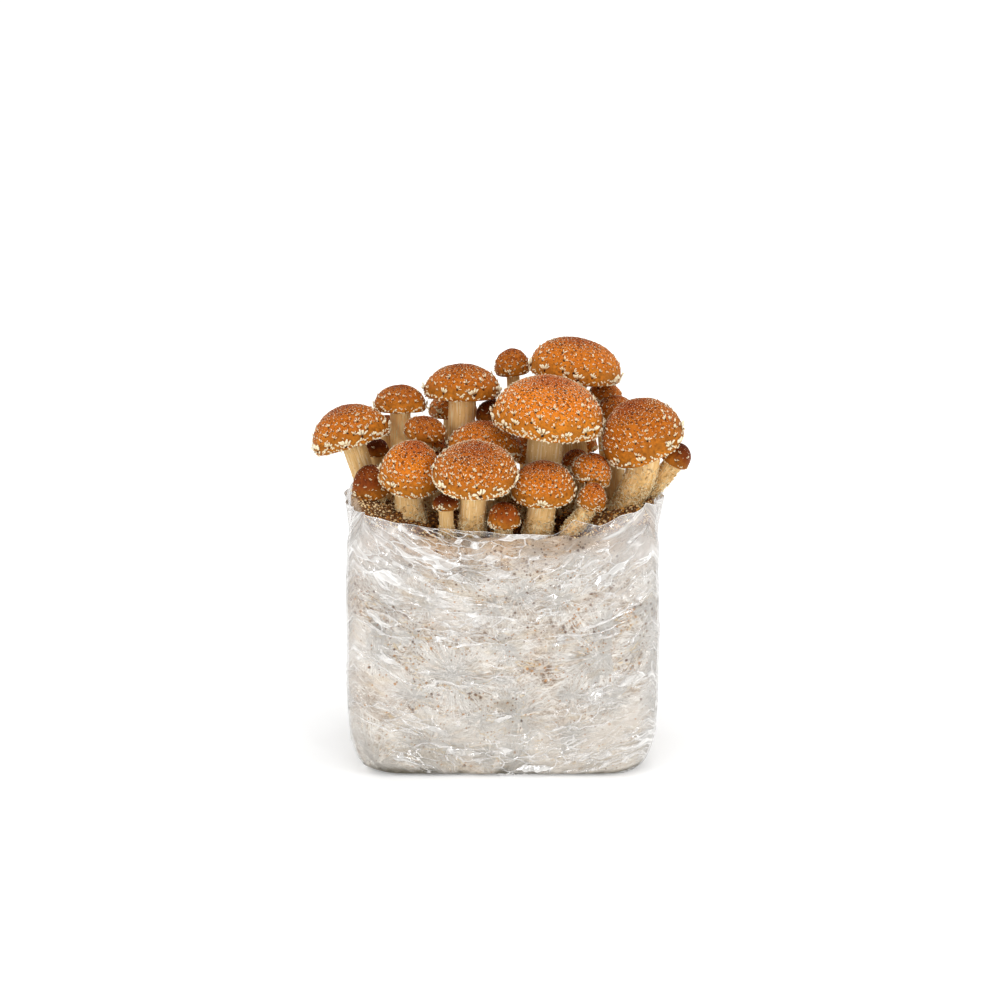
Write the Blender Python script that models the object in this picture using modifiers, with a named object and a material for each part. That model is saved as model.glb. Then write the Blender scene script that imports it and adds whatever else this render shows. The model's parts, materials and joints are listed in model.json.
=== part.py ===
"""Chestnut mushroom grow kit: a film bag full of fruiting substrate, with a crop of mushrooms on its top.

Sizes are in metres, +Z is up and the front of the kit faces -Y. The origin is the middle of the base.
"""

import math
from collections import namedtuple

import bmesh
import bpy
from mathutils import Matrix, Vector, noise

MM = 0.001

# The film bag
BAG_HALF_WIDTH = 103.5 * MM
BAG_HALF_DEPTH = 64.0 * MM
FILM = 0.5 * MM
FOLD_DEPTH = 1.3 * MM
FOLD_SIZE = 30.0 * MM
CORNER_POINTS = 3
WIDE_SIDE_POINTS = 4
NARROW_SIDE_POINTS = 2

# A section of the bag: how far in it stands at the ends, and at the front and back, and its corners' radius
Section = namedtuple("Section", "ends faces corner")
WIDEST = Section(0.0, 0.0, 17.0)

# The wall's sections by height, from the base up to below the rim
WALL_LEVELS = [
    (0.0, Section(10.5, 2.5, 29.0)),
    (4.0, Section(7.4, 0.8, 27.0)),
    (12.0, Section(4.2, 0.0, 24.0)),
    (26.0, Section(1.4, 0.0, 20.0)),
    (60.0, Section(0.0, 0.0, 17.0)),
    (122.0, Section(0.8, 0.8, 17.0)),
    (155.0, Section(0.8, 0.8, 17.0)),
]
SMALLEST_CORNER = 2.0

# The bag's rim, anticlockwise from the front right corner: its height, and how far in it stands
RIM = [(178, 4.5), (181, 8), (181, 5), (180, -3.5), (177, -4), (174, -2.5), (175, -1), (174, -2.5)]
RIM += [(170, -2.5), (166, -2.5), (168, -2.5), (171, -2.5), (174, -2.5), (173, -1), (172, -2.5), (171, -2.5)]
RIM += [(173, 0.5), (176, 9), (177, 11.5), (175, 8), (171, -1), (169, -2.5), (167, -2.5), (175, -1)]

# The substrate block, which fills the bag up to a lumpy top
BLOCK_GAP = 0.75 * MM
TOP_RINGS = [(4.0, 158.0), (24.0, 159.0), (44.0, 160.0)]
TOP_CENTRE = 160.5
LUMP_HEIGHT = 1.6 * MM
LUMP_SIZE = 17.0 * MM

# The mushrooms: stems rise from inside the block and end just under their caps
STEM_ROOT = 150.0 * MM
STEM_ROUNDNESS = 2
STEM_STEPS = 3
STEM_GAP = 0.35 * MM
COLLAR = 0.8 * MM
CEILING = 0.15
WIDE_CAP = 40.0
WIDE_CAP_FACETS = (14, 5)
NARROW_CAP_FACETS = (10, 3)
RIM_WAVE = 0.025
MERGE = 0.05 * MM
SHARP_EDGE = math.radians(50)

# Millimetres: the middle of the cap's widest ring, its width and the height of its dome, the stem's
# foot on the block and its widths at top, waist and foot. The lean is in degrees, right and forward.
Mushroom = namedtuple("Mushroom", "name cap width dome lean foot stem")
MUSHROOMS = [
    Mushroom("01", (-101, 5, 215), 53, 23, (-18, -5), (-89, 12), (16, 15, 17)),
    Mushroom("02", (-69, 28, 232), 36, 15, (0, -4), (-68, 32), (14, 14, 15)),
    Mushroom("03", (-27, 29, 242), 52, 19, (0, -4), (-31, 37), (19, 17, 18)),
    Mushroom("04", (-52, 4, 220), 30, 10, (8, 10), (-43, 5), (10, 10, 11)),
    Mushroom("05", (-61, -26, 195), 43, 27, (10, 18), (-60, -24), (18, 19, 22)),
    Mushroom("06", (-18, -50, 203), 57, 21, (3, 16), (-20, -38), (19, 17, 16)),
    Mushroom("07", (-12, 2, 209), 50, 18, (6, 0), (-12, 3), (16, 16, 17)),
    Mushroom("08", (30, -13, 232), 73, 29, (6, 6), (26, 4), (24, 23, 24)),
    Mushroom("09", (27, -38, 189), 43, 21, (-3, 12), (22, -37), (19, 18, 18)),
    Mushroom("10", (58, -19, 195), 29, 16, (18, 8), (55, -17), (11, 11, 12)),
    Mushroom("11", (58, -40, 182), 21, 14, (18, 10), (43, -42), (10, 12, 14)),
    Mushroom("12", (94, -14, 217), 57, 30, (-20, 12), (77, -12), (21, 20, 19)),
    Mushroom("13", (115, -4, 202), 21, 13, (26, 5), (86, 7), (13, 12, 13)),
    Mushroom("14", (-86, -13, 184), 28, 18, (-12, 12), (-79, -11), (13, 13, 14)),
    Mushroom("15", (-37, -47, 182), 18, 8, (0, 5), (-36, -48), (10, 9, 11)),
    Mushroom("16", (1, -49, 171), 23, 14, (0, 4), (0, -48), (10, 10, 12)),
    Mushroom("17", (49, 43, 254), 65, 22, (8, 0), (51, 40), (20, 19, 20)),
    Mushroom("18", (7, 58, 251), 26, 15, (-6, 2), (1, 52), (9, 9, 10)),
    Mushroom("19", (70, 54, 233), 25, 10, (4, 4), (74, 51), (9, 9, 10)),
    Mushroom("20", (50, 9, 196), 22, 11, (-8, 6), (51, 9), (10, 10, 11)),
    Mushroom("21", (77, 30, 225), 29, 14, (0, 4), (77, 28), (12, 12, 13)),
    Mushroom("22", (-34, 61, 221), 35, 13, (0, -2), (-38, 51), (13, 12, 12)),
    Mushroom("23", (-5, 38, 223), 28, 12, (0, 3), (-4, 42), (12, 12, 13)),
    Mushroom("24", (-85, 28, 201), 19, 9, (0, 6), (-84, 29), (9, 9, 10)),
    Mushroom("25", (-79, 48, 212), 20, 10, (0, 4), (-78, 46), (9, 9, 10)),
    Mushroom("26", (-52, 47, 199), 28, 14, (7, 2), (-53, 50), (14, 14, 15)),
    Mushroom("27", (90, 48, 190), 24, 12, (6, -8), (88, 45), (10, 10, 11)),
    Mushroom("28", (19, 67, 188), 26, 18, (-2, 5), (21, 50), (15, 15, 16)),
    Mushroom("29", (55, 69, 194), 23, 16, (-4, 0), (63, 52), (10, 10, 11)),
]
YOUNG = ("13", "14", "15", "16", "23", "24")

# Base colours
FILM_COLOUR = (0.86, 0.86, 0.84, 1.0)
SUBSTRATE_COLOUR = (0.74, 0.69, 0.62, 1.0)
STEM_COLOUR = (0.72, 0.56, 0.34, 1.0)
CAP_COLOUR = (0.56, 0.19, 0.035, 1.0)
YOUNG_CAP_COLOUR = (0.34, 0.07, 0.015, 1.0)


def clear_scene():
    for obj in list(bpy.data.objects):
        bpy.data.objects.remove(obj)


def new_collection(name):
    collection = bpy.data.collections.new(name)
    bpy.context.scene.collection.children.link(collection)
    return collection


def new_material(name, colour, roughness):
    material = bpy.data.materials.new(name)
    material.use_nodes = True
    surface = material.node_tree.nodes["Principled BSDF"]
    surface.inputs["Base Color"].default_value = colour
    surface.inputs["Roughness"].default_value = roughness
    material.diffuse_color = colour
    return material


def new_object(name, collection, shape, material=None):
    """The object made of this bmesh, which is freed. It is smooth but for its sharper edges."""
    mesh = bpy.data.meshes.new(name)
    bmesh.ops.recalc_face_normals(shape, faces=shape.faces)
    shape.to_mesh(mesh)
    shape.free()
    mesh.shade_smooth()
    mesh.set_sharp_from_angle(angle=SHARP_EDGE)
    obj = bpy.data.objects.new(name, mesh)
    collection.objects.link(obj)
    if material:
        mesh.materials.append(material)
    return obj


def evaluated_shape(obj):
    """A bmesh of the object as its modifiers or its bevel make it, in place of the object."""
    bpy.context.view_layer.update()
    graph = bpy.context.evaluated_depsgraph_get()
    mesh = bpy.data.meshes.new_from_object(obj.evaluated_get(graph))
    bpy.data.objects.remove(obj)
    shape = bmesh.new()
    shape.from_mesh(mesh)
    bpy.data.meshes.remove(mesh)
    bmesh.ops.remove_doubles(shape, verts=shape.verts, dist=MERGE)
    bmesh.ops.recalc_face_normals(shape, faces=shape.faces)
    return shape


# Bag and block


def inward(section, inset):
    """The section moved in by this many millimetres all round."""
    corner = max(section.corner - inset, SMALLEST_CORNER)
    return Section(section.ends + inset, section.faces + inset, corner)


def outline(section):
    """(point, outward direction) round a section, anticlockwise from the front right corner."""
    corner = section.corner * MM
    across = BAG_HALF_WIDTH - section.ends * MM - corner
    deep = BAG_HALF_DEPTH - section.faces * MM - corner
    centres = [(across, -deep), (across, deep), (-across, deep), (-across, -deep)]
    after = [NARROW_SIDE_POINTS, WIDE_SIDE_POINTS, NARROW_SIDE_POINTS, WIDE_SIDE_POINTS]
    points = []
    for turn, (centre, count) in enumerate(zip(centres, after)):
        for step in range(CORNER_POINTS):
            angle = math.radians(90 * (turn - 1) + 90 * step / (CORNER_POINTS - 1))
            out = Vector((math.cos(angle), math.sin(angle), 0))
            points.append((Vector((*centre, 0)) + corner * out, out))
        next_centre = Vector((*centres[(turn + 1) % 4], 0))
        start = Vector((*centre, 0)) + corner * out
        end = next_centre + corner * out
        for step in range(count):
            points.append((start.lerp(end, (step + 1) / (count + 1)), out))
    return points


def fold_push(height):
    """How far each point of a ring at this height is pushed out where the film folds."""
    heights = Vector((0, 0, height))
    return [FOLD_DEPTH * noise.noise((point + heights) / FOLD_SIZE) for point, _ in outline(WIDEST)]


def folded_ring(height, section, level=None):
    """A ring of the wall at this height, with the folds of this level or else of its own height."""
    pushes = fold_push(height if level is None else level)
    ring = []
    for (point, out), push in zip(outline(section), pushes):
        ring.append(point + out * push + Vector((0, 0, height)))
    return ring


def wall_rings(skin):
    """The rings of the wall from the base up, this many millimetres further in."""
    rings = []
    for height, section in WALL_LEVELS:
        level = height * MM
        rings.append(folded_ring(max(level, skin * MM), inward(section, skin), level))
    return rings


def rim_ring():
    """The bag's top edge, with its own height and inset at each point."""
    ring = []
    for index, push in enumerate(fold_push(WALL_LEVELS[-1][0] * MM)):
        height, inset = RIM[index]
        point, out = outline(inward(WIDEST, inset))[index]
        ring.append(point + out * push + Vector((0, 0, height * MM)))
    return ring


def skin_rings(shape, rings):
    """Faces from ring to ring, split along the same diagonal everywhere. It returns the rings' points."""
    rows = [[shape.verts.new(point) for point in ring] for ring in rings]
    for lower, upper in zip(rows, rows[1:]):
        for index in range(len(lower)):
            after = (index + 1) % len(lower)
            shape.faces.new((lower[index], lower[after], upper[after]))
            shape.faces.new((lower[index], upper[after], upper[index]))
    return rows


def make_bag(collection, material):
    """The film's outer face, open at the rim, is thickened inwards."""
    shape = bmesh.new()
    rings = wall_rings(0.0)
    rings.append(rim_ring())
    rows = skin_rings(shape, rings)
    shape.faces.new(rows[0][::-1])
    bag = new_object("bag", collection, shape, material)
    film = bag.modifiers.new("film", "SOLIDIFY")
    film.thickness = FILM
    film.offset = -1
    film.use_even_offset = True


def block_shape(lift):
    """The block, with its top raised by lift."""
    shape = bmesh.new()
    skin = (FILM + BLOCK_GAP) / MM
    rings = wall_rings(skin)
    level, section = WALL_LEVELS[-1]
    for inset, height in TOP_RINGS:
        ring = folded_ring(level * MM, inward(section, skin + inset))
        for point in ring:
            lump = LUMP_HEIGHT * noise.noise(point / LUMP_SIZE)
            point.z = height * MM + lump + lift
        rings.append(ring)
    rows = skin_rings(shape, rings)
    shape.faces.new(rows[0][::-1])
    centre = shape.verts.new((0, 0, TOP_CENTRE * MM + lift))
    last = rows[-1]
    for index in range(len(last)):
        shape.faces.new((last[index], last[(index + 1) % len(last)], centre))
    return shape


# Mushrooms


def cap_matrix(mushroom):
    right, front = mushroom.lean
    turn = Matrix.Rotation(math.radians(right), 4, "Y") @ Matrix.Rotation(math.radians(front), 4, "X")
    return Matrix.Translation(Vector(mushroom.cap) * MM) @ turn


def cap_profile(mushroom, rows):
    """(radius, height) from the crown over the rim, and under it to the flat collar above the stem."""
    radius = mushroom.width / 2 * MM
    dome = mushroom.dome * MM
    lip = 0.11 * radius + 1.0 * MM
    collar = mushroom.stem[0] / 2 * MM + COLLAR
    points = []
    for row in range(rows + 1):
        angle = math.pi / 2 * row / rows
        points.append((radius * math.sin(angle), dome * math.cos(angle)))
    points.append((0.94 * radius, -lip))
    points.append((max(0.84 * radius, collar + 1.0 * MM), -0.25 * lip))
    points.append((collar, CEILING * dome))
    points.append((0.0, CEILING * dome))
    return points


def turned(profile, segments):
    """The closed body that a profile sweeps round the Z axis."""
    mesh = bpy.data.meshes.new("profile")
    points = [(radius, 0, height) for radius, height in profile]
    edges = [(index, index + 1) for index in range(len(points) - 1)]
    mesh.from_pydata(points, edges, [])
    obj = bpy.data.objects.new("profile", mesh)
    bpy.context.scene.collection.objects.link(obj)
    screw = obj.modifiers.new("turn", "SCREW")
    screw.steps = segments
    screw.render_steps = segments
    screw.use_merge_vertices = True
    screw.merge_threshold = MERGE
    return evaluated_shape(obj)


def raise_scales(shape, mushroom, segments, rows):
    """Every other facet of the dome, like the squares of a chessboard, becomes a raised scale."""
    scales = []
    for face in shape.faces:
        middle = face.calc_center_median()
        if middle.z < 0 or face.normal.z <= 0 or len(face.verts) < 4:
            continue
        across = math.hypot(middle.x, middle.y) / (mushroom.width / 2 * MM)
        row = int(math.asin(min(across, 1.0)) / (math.pi / 2) * rows)
        column = int((math.atan2(middle.y, middle.x) % math.tau) / math.tau * segments)
        if (row + column) % 2:
            scales.append(face)
    height = (0.5 + 0.02 * mushroom.width) * MM
    bmesh.ops.poke(shape, faces=scales, offset=height)


def wave_rim(shape, mushroom):
    """The cap's outline isn't quite round. The collar above the stem stays as it is."""
    collar = mushroom.stem[0] / 2 * MM + 1.5 * COLLAR
    phase = int(mushroom.name)
    for vert in shape.verts:
        if math.hypot(vert.co.x, vert.co.y) < collar:
            continue
        angle = math.atan2(vert.co.y, vert.co.x)
        wave = math.sin(2 * angle + phase) + 0.6 * math.sin(5 * angle + 2 * phase)
        vert.co.x *= 1 + RIM_WAVE * wave
        vert.co.y *= 1 + RIM_WAVE * wave


def make_cap(mushroom, collection, material):
    segments, rows = WIDE_CAP_FACETS if mushroom.width >= WIDE_CAP else NARROW_CAP_FACETS
    shape = turned(cap_profile(mushroom, rows), segments)
    raise_scales(shape, mushroom, segments, rows)
    wave_rim(shape, mushroom)
    cap = new_object(f"cap_{mushroom.name}", collection, shape, material)
    cap.matrix_world = cap_matrix(mushroom)


def stem_line(mushroom):
    """(place, handle, width) of the stem's root, waist and top, from upright to the cap's own axis."""
    place = cap_matrix(mushroom)
    axis = (place.to_3x3() @ Vector((0, 0, 1))).normalized()
    top = place @ Vector((0, 0, CEILING * mushroom.dome * MM - STEM_GAP))
    root = Vector((mushroom.foot[0] * MM, mushroom.foot[1] * MM, STEM_ROOT))
    reach = (top - root).length / 3
    above_root = root + Vector((0, 0, reach))
    below_top = top - axis * reach
    waist = (above_root + below_top) / 2
    along = (below_top - above_root + (top - root) / 2) / 6
    top_width, waist_width, root_width = mushroom.stem
    return [
        (root, Vector((0, 0, reach / 2)), root_width),
        (waist, along, waist_width),
        (top, axis * reach / 2, top_width),
    ]


def swept(line):
    """The closed tube along a line of places, handles and widths."""
    curve = bpy.data.curves.new("stem_line", "CURVE")
    curve.dimensions = "3D"
    curve.resolution_u = STEM_STEPS
    curve.bevel_depth = 1.0
    curve.bevel_resolution = STEM_ROUNDNESS
    curve.use_fill_caps = True
    spline = curve.splines.new("BEZIER")
    spline.bezier_points.add(len(line) - 1)
    for point, (place, handle, width) in zip(spline.bezier_points, line):
        point.handle_left_type = "FREE"
        point.handle_right_type = "FREE"
        point.co = place
        point.handle_left = place - handle
        point.handle_right = place + handle
        point.radius = width / 2 * MM
    obj = bpy.data.objects.new("stem_line", curve)
    bpy.context.scene.collection.objects.link(obj)
    return evaluated_shape(obj)


def make_stem(mushroom, collection, material, cutter):
    stem = new_object(f"stem_{mushroom.name}", collection, swept(stem_line(mushroom)), material)
    cut = stem.modifiers.new("stand on the block", "BOOLEAN")
    cut.operation = "DIFFERENCE"
    cut.solver = "EXACT"
    cut.object = cutter


def main():
    clear_scene()
    kit = new_collection("chestnut_mushroom_grow_kit")
    cutters = new_collection("cutters")
    cutters.hide_render = True
    film = new_material("bag_film", FILM_COLOUR, 0.2)
    substrate = new_material("substrate", SUBSTRATE_COLOUR, 0.9)
    flesh = new_material("stem", STEM_COLOUR, 0.8)
    skin = new_material("cap", CAP_COLOUR, 0.5)
    young_skin = new_material("young_cap", YOUNG_CAP_COLOUR, 0.5)

    make_bag(kit, film)
    new_object("substrate_block", kit, block_shape(0.0), substrate)
    cutter = new_object("block_cutter", cutters, block_shape(STEM_GAP))
    cutter.hide_render = True
    cutter.display_type = "WIRE"
    for mushroom in MUSHROOMS:
        make_cap(mushroom, kit, young_skin if mushroom.name in YOUNG else skin)
        make_stem(mushroom, kit, flesh, cutter)


main()
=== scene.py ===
"""Looks of the chestnut mushroom grow kit: a creased film bag of substrate, and mushrooms on its top.

It is laid out as a Blender add-on and run as a script.
"""

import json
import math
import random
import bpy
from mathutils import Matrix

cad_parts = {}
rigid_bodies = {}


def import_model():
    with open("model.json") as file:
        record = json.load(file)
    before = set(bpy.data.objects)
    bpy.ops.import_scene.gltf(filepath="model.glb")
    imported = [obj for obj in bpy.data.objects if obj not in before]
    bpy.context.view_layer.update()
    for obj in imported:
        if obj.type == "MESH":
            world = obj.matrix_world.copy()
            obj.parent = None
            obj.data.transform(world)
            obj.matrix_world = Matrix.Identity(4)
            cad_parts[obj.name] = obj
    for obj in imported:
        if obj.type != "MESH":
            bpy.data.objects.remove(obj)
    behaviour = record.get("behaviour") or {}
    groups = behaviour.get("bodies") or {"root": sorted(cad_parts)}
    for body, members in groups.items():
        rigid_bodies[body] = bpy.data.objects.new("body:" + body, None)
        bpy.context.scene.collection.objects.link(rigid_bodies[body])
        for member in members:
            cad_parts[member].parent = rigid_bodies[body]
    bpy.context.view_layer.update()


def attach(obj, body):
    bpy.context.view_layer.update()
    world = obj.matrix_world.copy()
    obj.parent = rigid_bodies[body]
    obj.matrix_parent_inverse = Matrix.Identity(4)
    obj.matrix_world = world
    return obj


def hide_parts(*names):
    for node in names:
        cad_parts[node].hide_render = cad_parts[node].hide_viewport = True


bl_info = {
    "name": "Chestnut mushroom grow kit",
    "version": (1, 0, 0),
    "blender": (4, 5, 0),
    "location": "3D View > Sidebar > Grow kit",
    "description": "Dresses the solids of a mushroom grow kit: film, substrate, stems, caps and their tufts",
    "category": "Object",
}

from collections import namedtuple
from functools import partial

import bmesh
import bpy
import numpy as np
from bpy.props import FloatProperty, FloatVectorProperty, IntProperty, PointerProperty
from mathutils import Matrix, Vector, geometry, noise

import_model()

MM = 0.001
BODY = "root"

# The bag's widest outline, as its solid has it, and the depth and size of its wall's slow bulges
HALF_WIDTH, HALF_DEPTH, CORNER = 103.5, 64.0, 17.0
FOLD_DEPTH, FOLD_SIZE = 1.3, 30.0
ARC = CORNER * math.pi / 2
NARROW, WIDE = 2 * (HALF_DEPTH - CORNER), 2 * (HALF_WIDTH - CORNER)
AROUND = 2 * NARROW + 2 * WIDE + 4 * ARC

# The middle and width of its right side, back, left side and front. Places round it start at the front right
# corner and run anticlockwise
SIDES = [(ARC + NARROW / 2, NARROW), (2 * ARC + NARROW + WIDE / 2, WIDE)]
SIDES += [(3 * ARC + 1.5 * NARROW + WIDE, NARROW), (AROUND - WIDE / 2, WIDE)]

# The wall from the base up: its height, how far in it stands at the ends, and at the front and back, and the
# radius of its corners
WALL_LEVELS = [(0.0, 10.5, 2.5, 29.0), (4.0, 7.4, 0.8, 27.0), (12.0, 4.2, 0.0, 24.0), (26.0, 1.4, 0.0, 20.0)]
WALL_LEVELS += [(60.0, 0.0, 0.0, 17.0), (122.0, 0.8, 0.8, 17.0), (155.0, 0.8, 0.8, 17.0)]

# The level up to which the block holds the wall, and the level that stands for the rim
WALL_TOP, RIM_LEVEL = 155.0, 174.0

# The rim's height at places along it
RIM = [
    (0, 180), (8, 183), (16, 184.7), (27, 182), (50, 180.5), (74, 180), (98, 176), (121, 174), (134, 175),
    (148, 174), (183, 170), (217, 166), (251, 168), (285, 171), (320, 174), (334, 173), (347, 172),
    (378, 172.5), (394, 173.5), (410, 174), (424, 175.6), (441, 177), (454, 178), (467, 176.5), (484, 173.6),
    (513, 170.9), (539, 168.9), (565, 166.8), (588, 166.8), (595, 170), (601, 176.3), (606, 174.9),
    (618, 172.2), (624, 174.2), (632, 178.2),
]

# How far in the rim stands at such places. It bends in at both front corners
RIM_INSETS = [
    (0, 4.5), (13, 8), (27, 5), (58, -3.5), (89, -4), (121, -2.5), (134, -1), (148, -2.5), (320, -2.5),
    (334, -1), (347, -2.5), (378, -2.5), (410, 0.5), (441, 9), (454, 11.5), (468, 8), (502, -1),
    (537, -2.5), (571, -2.5), (606, -1),
]

# The film's creases by kind: their share of all, the shortest and longest, the narrowest and widest, and how
# steep they are
CREASES = [(0.05, 20, 38, 3.6, 6.0, 0.26), (0.35, 9, 20, 2.4, 3.8, 0.30), (0.6, 4, 9, 1.8, 2.6, 0.26)]

# In metres: the block's level top, from which the height on a stem is counted, and where the stems start
BLOCK_TOP, ROOT = 0.158, 0.150

# Each mushroom: the middle of the cap's widest ring, its width, its dome's height, its lean right and forward
# in degrees, the stem's foot, and the stem's widths at top, waist and foot. Then its looks: how dark the skin
# is, how crowded the flecks are and how full the fringe of veil is. Cap 15 stands in the shade of cap 06, and
# its darkness is partly painted shade.
Mushroom = namedtuple("Mushroom", "name cap width dome lean foot stem dark flecks fringe")
MUSHROOMS = [Mushroom(*row) for row in (
    ("01", (-101, 5, 215), 53, 23, (-18, -5), (-89, 12), (16, 15, 17), 0.35, 1.0, 1.1),
    ("02", (-69, 28, 232), 36, 15, (0, -4), (-68, 32), (14, 14, 15), 0.5, 0.8, 0.8),
    ("03", (-27, 29, 242), 52, 19, (0, -4), (-31, 37), (19, 17, 18), 0.4, 0.8, 0.6),
    ("04", (-52, 4, 220), 30, 10, (8, 10), (-43, 5), (10, 10, 11), 0.5, 1.0, 0.3),
    ("05", (-61, -26, 195), 43, 27, (10, 18), (-60, -24), (18, 19, 22), 0.15, 1.5, 1.0),
    ("06", (-18, -50, 203), 57, 21, (3, 16), (-20, -38), (19, 17, 16), 0.32, 1.3, 1.1),
    ("07", (-12, 2, 209), 50, 18, (6, 0), (-12, 3), (16, 16, 17), 0.2, 1.0, 0.8),
    ("08", (30, -13, 232), 73, 29, (6, 6), (26, 4), (24, 23, 24), 0.02, 1.15, 1.0),
    ("09", (27, -38, 189), 43, 21, (-3, 12), (22, -37), (19, 18, 18), 0.25, 1.4, 0.9),
    ("10", (58, -19, 195), 29, 16, (18, 8), (55, -17), (11, 11, 12), 0.1, 2.0, 1.4),
    ("11", (58, -40, 182), 21, 14, (18, 10), (43, -42), (10, 12, 14), 0.35, 1.5, 1.2),
    ("12", (94, -14, 217), 57, 30, (-20, 12), (77, -12), (21, 20, 19), 0.4, 1.0, 0.8),
    ("13", (115, -4, 202), 21, 13, (26, 5), (86, 7), (13, 12, 13), 0.8, 0.4, 0.6),
    ("14", (-86, -13, 184), 28, 18, (-12, 12), (-79, -11), (13, 13, 14), 0.75, 0.5, 0.4),
    # Cap 15 lies in the shade of cap 06: its darkness is partly painted shade
    ("15", (-37, -47, 182), 18, 8, (0, 5), (-36, -48), (10, 9, 11), 1.0, 0.5, 1.0),
    ("16", (1, -49, 171), 23, 14, (0, 4), (0, -48), (10, 10, 12), 0.5, 0.5, 1.3),
    ("17", (49, 43, 254), 65, 22, (8, 0), (51, 40), (20, 19, 20), 0.2, 0.7, 1.0),
    ("18", (7, 58, 251), 26, 15, (-6, 2), (1, 52), (9, 9, 10), 0.5, 1.0, 0.7),
    ("19", (70, 54, 233), 25, 10, (4, 4), (74, 51), (9, 9, 10), 0.4, 1.0, 0.7),
    ("20", (50, 9, 196), 22, 11, (-8, 6), (51, 9), (10, 10, 11), 0.5, 1.4, 0.8),
    ("21", (77, 30, 225), 29, 14, (0, 4), (77, 28), (12, 12, 13), 0.45, 1.4, 1.0),
    ("22", (-34, 61, 221), 35, 13, (0, -2), (-38, 51), (13, 12, 12), 0.4, 1.1, 0.8),
    ("23", (-5, 38, 223), 28, 12, (0, 3), (-4, 42), (12, 12, 13), 0.9, 0.6, 0.5),
    ("24", (-85, 28, 201), 19, 9, (0, 6), (-84, 29), (9, 9, 10), 0.9, 0.5, 0.5),
    ("25", (-79, 48, 212), 20, 10, (0, 4), (-78, 46), (9, 9, 10), 0.6, 1.0, 0.7),
    ("26", (-52, 47, 199), 28, 14, (7, 2), (-53, 50), (14, 14, 15), 0.4, 1.0, 0.8),
    ("27", (90, 48, 190), 24, 12, (6, -8), (88, 45), (10, 10, 11), 0.5, 1.0, 0.8),
    ("28", (19, 67, 188), 26, 18, (-2, 5), (21, 50), (15, 15, 16), 0.5, 1.0, 0.8),
    ("29", (55, 69, 194), 23, 16, (-4, 0), (63, 52), (10, 10, 11), 0.4, 1.0, 0.8),
)]

# Painted light and shade: how much brighter the stems standing in the caps' shade are painted than the
# others, and stem 08 darker
STEM_PAINTED_LIGHT = {
    "02": 1.45, "03": 1.24, "05": 1.1, "06": 1.04, "08": 0.9, "09": 1.2, "11": 1.3, "12": 1.14, "13": 1.08,
}

# How far above the block the stems are woolly, where it isn't 16
WOOLLY = {"01": 24, "05": 20, "06": 17, "09": 14, "10": 22, "11": 24, "12": 42, "13": 42, "14": 22, "15": 12}

# The kinds of tuft: how many shapes, the fewest hairs, how many numbers of hairs and the first seed. Then how
# far the hairs fan in radians and lift in degrees, their girth, the size of the dark scale and their length.
# The dark scale is the brown base of the scale with a painted shadow beside the hairs
TUFTS = {
    "fleck": (6, 1, 2, 0, 2.0, 14, 0.15, 0.42, 0.68),
    "tuft": (6, 3, 3, 20, 2.0, 24, 0.1, 0.26, 0.68),
    "shell": (5, 6, 3, 60, 2.1, 26, 0.10, 0.16, 0.56),
    "veil": (6, 3, 3, 40, 2.4, 20, 0.15, 0.0, 0.5),
    "wool": (6, 3, 1, 80, 3.4, 34, 0.14, 0.0, 0.5),
}

# Young caps are darker, and one cap has fine rings round its crown
YOUNG, RINGED = ("13", "14", "15", "16", "23", "24"), "06"

# How far the tufts stand proud of a cap's skin, and the sway in radians that turns shapes any way
PROUD, ANY_WAY = 0.8, 3.1

# The darkest brown of a cap's skin, also used for the painted shade in its small pits
BROWN = (0.085, 0.014, 0.002, 1.0)

# The softboxes, in metres: their name, place, width and height, and share of the set power. They face AIM
SOFTBOXES = [
    ("left_box", (-1.5, -1.3, 1.3), (0.8, 0.8), 1.0),
    ("right_box", (1.5, -1.2, 1.5), (0.8, 0.8), 0.9),
    ("left_strip", (-0.75, -1.8, 0.6), (0.2, 0.8), 0.9),
    ("right_strip", (0.8, -1.8, 0.65), (0.2, 0.8), 0.9),
    ("left_side_box", (-1.9, 0.0, 0.6), (0.9, 0.9), 0.6),
    ("right_side_box", (1.9, 0.0, 0.6), (0.9, 0.9), 0.6),
    ("top_box", (0.1, -0.1, 1.9), (1.1, 1.1), 1.7),
    ("back_left_box", (-1.3, 1.7, 1.4), (1.0, 1.0), 0.8),
    ("back_right_box", (1.4, 1.6, 1.3), (1.0, 1.0), 0.8),
]
AIM = Vector((0, 0, 0.12))

# The camera's place in metres, its tilt and its sensor's width in mm
CAMERA_PLACE, CAMERA_TILT, SENSOR = (-0.0016, -1.9406, 0.6574), math.radians(76), 36.0

# The floor's level and half its width, in metres
FLOOR_LEVEL, FLOOR_REACH = -0.0004, 20.0


# Nodes


def math_operator(operation, swapped=False):
    """An operator that adds a Math node of this value and another, in the other order if swapped."""
    return lambda self, other: self.math(operation, *((other, self) if swapped else (self, other)))


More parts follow.
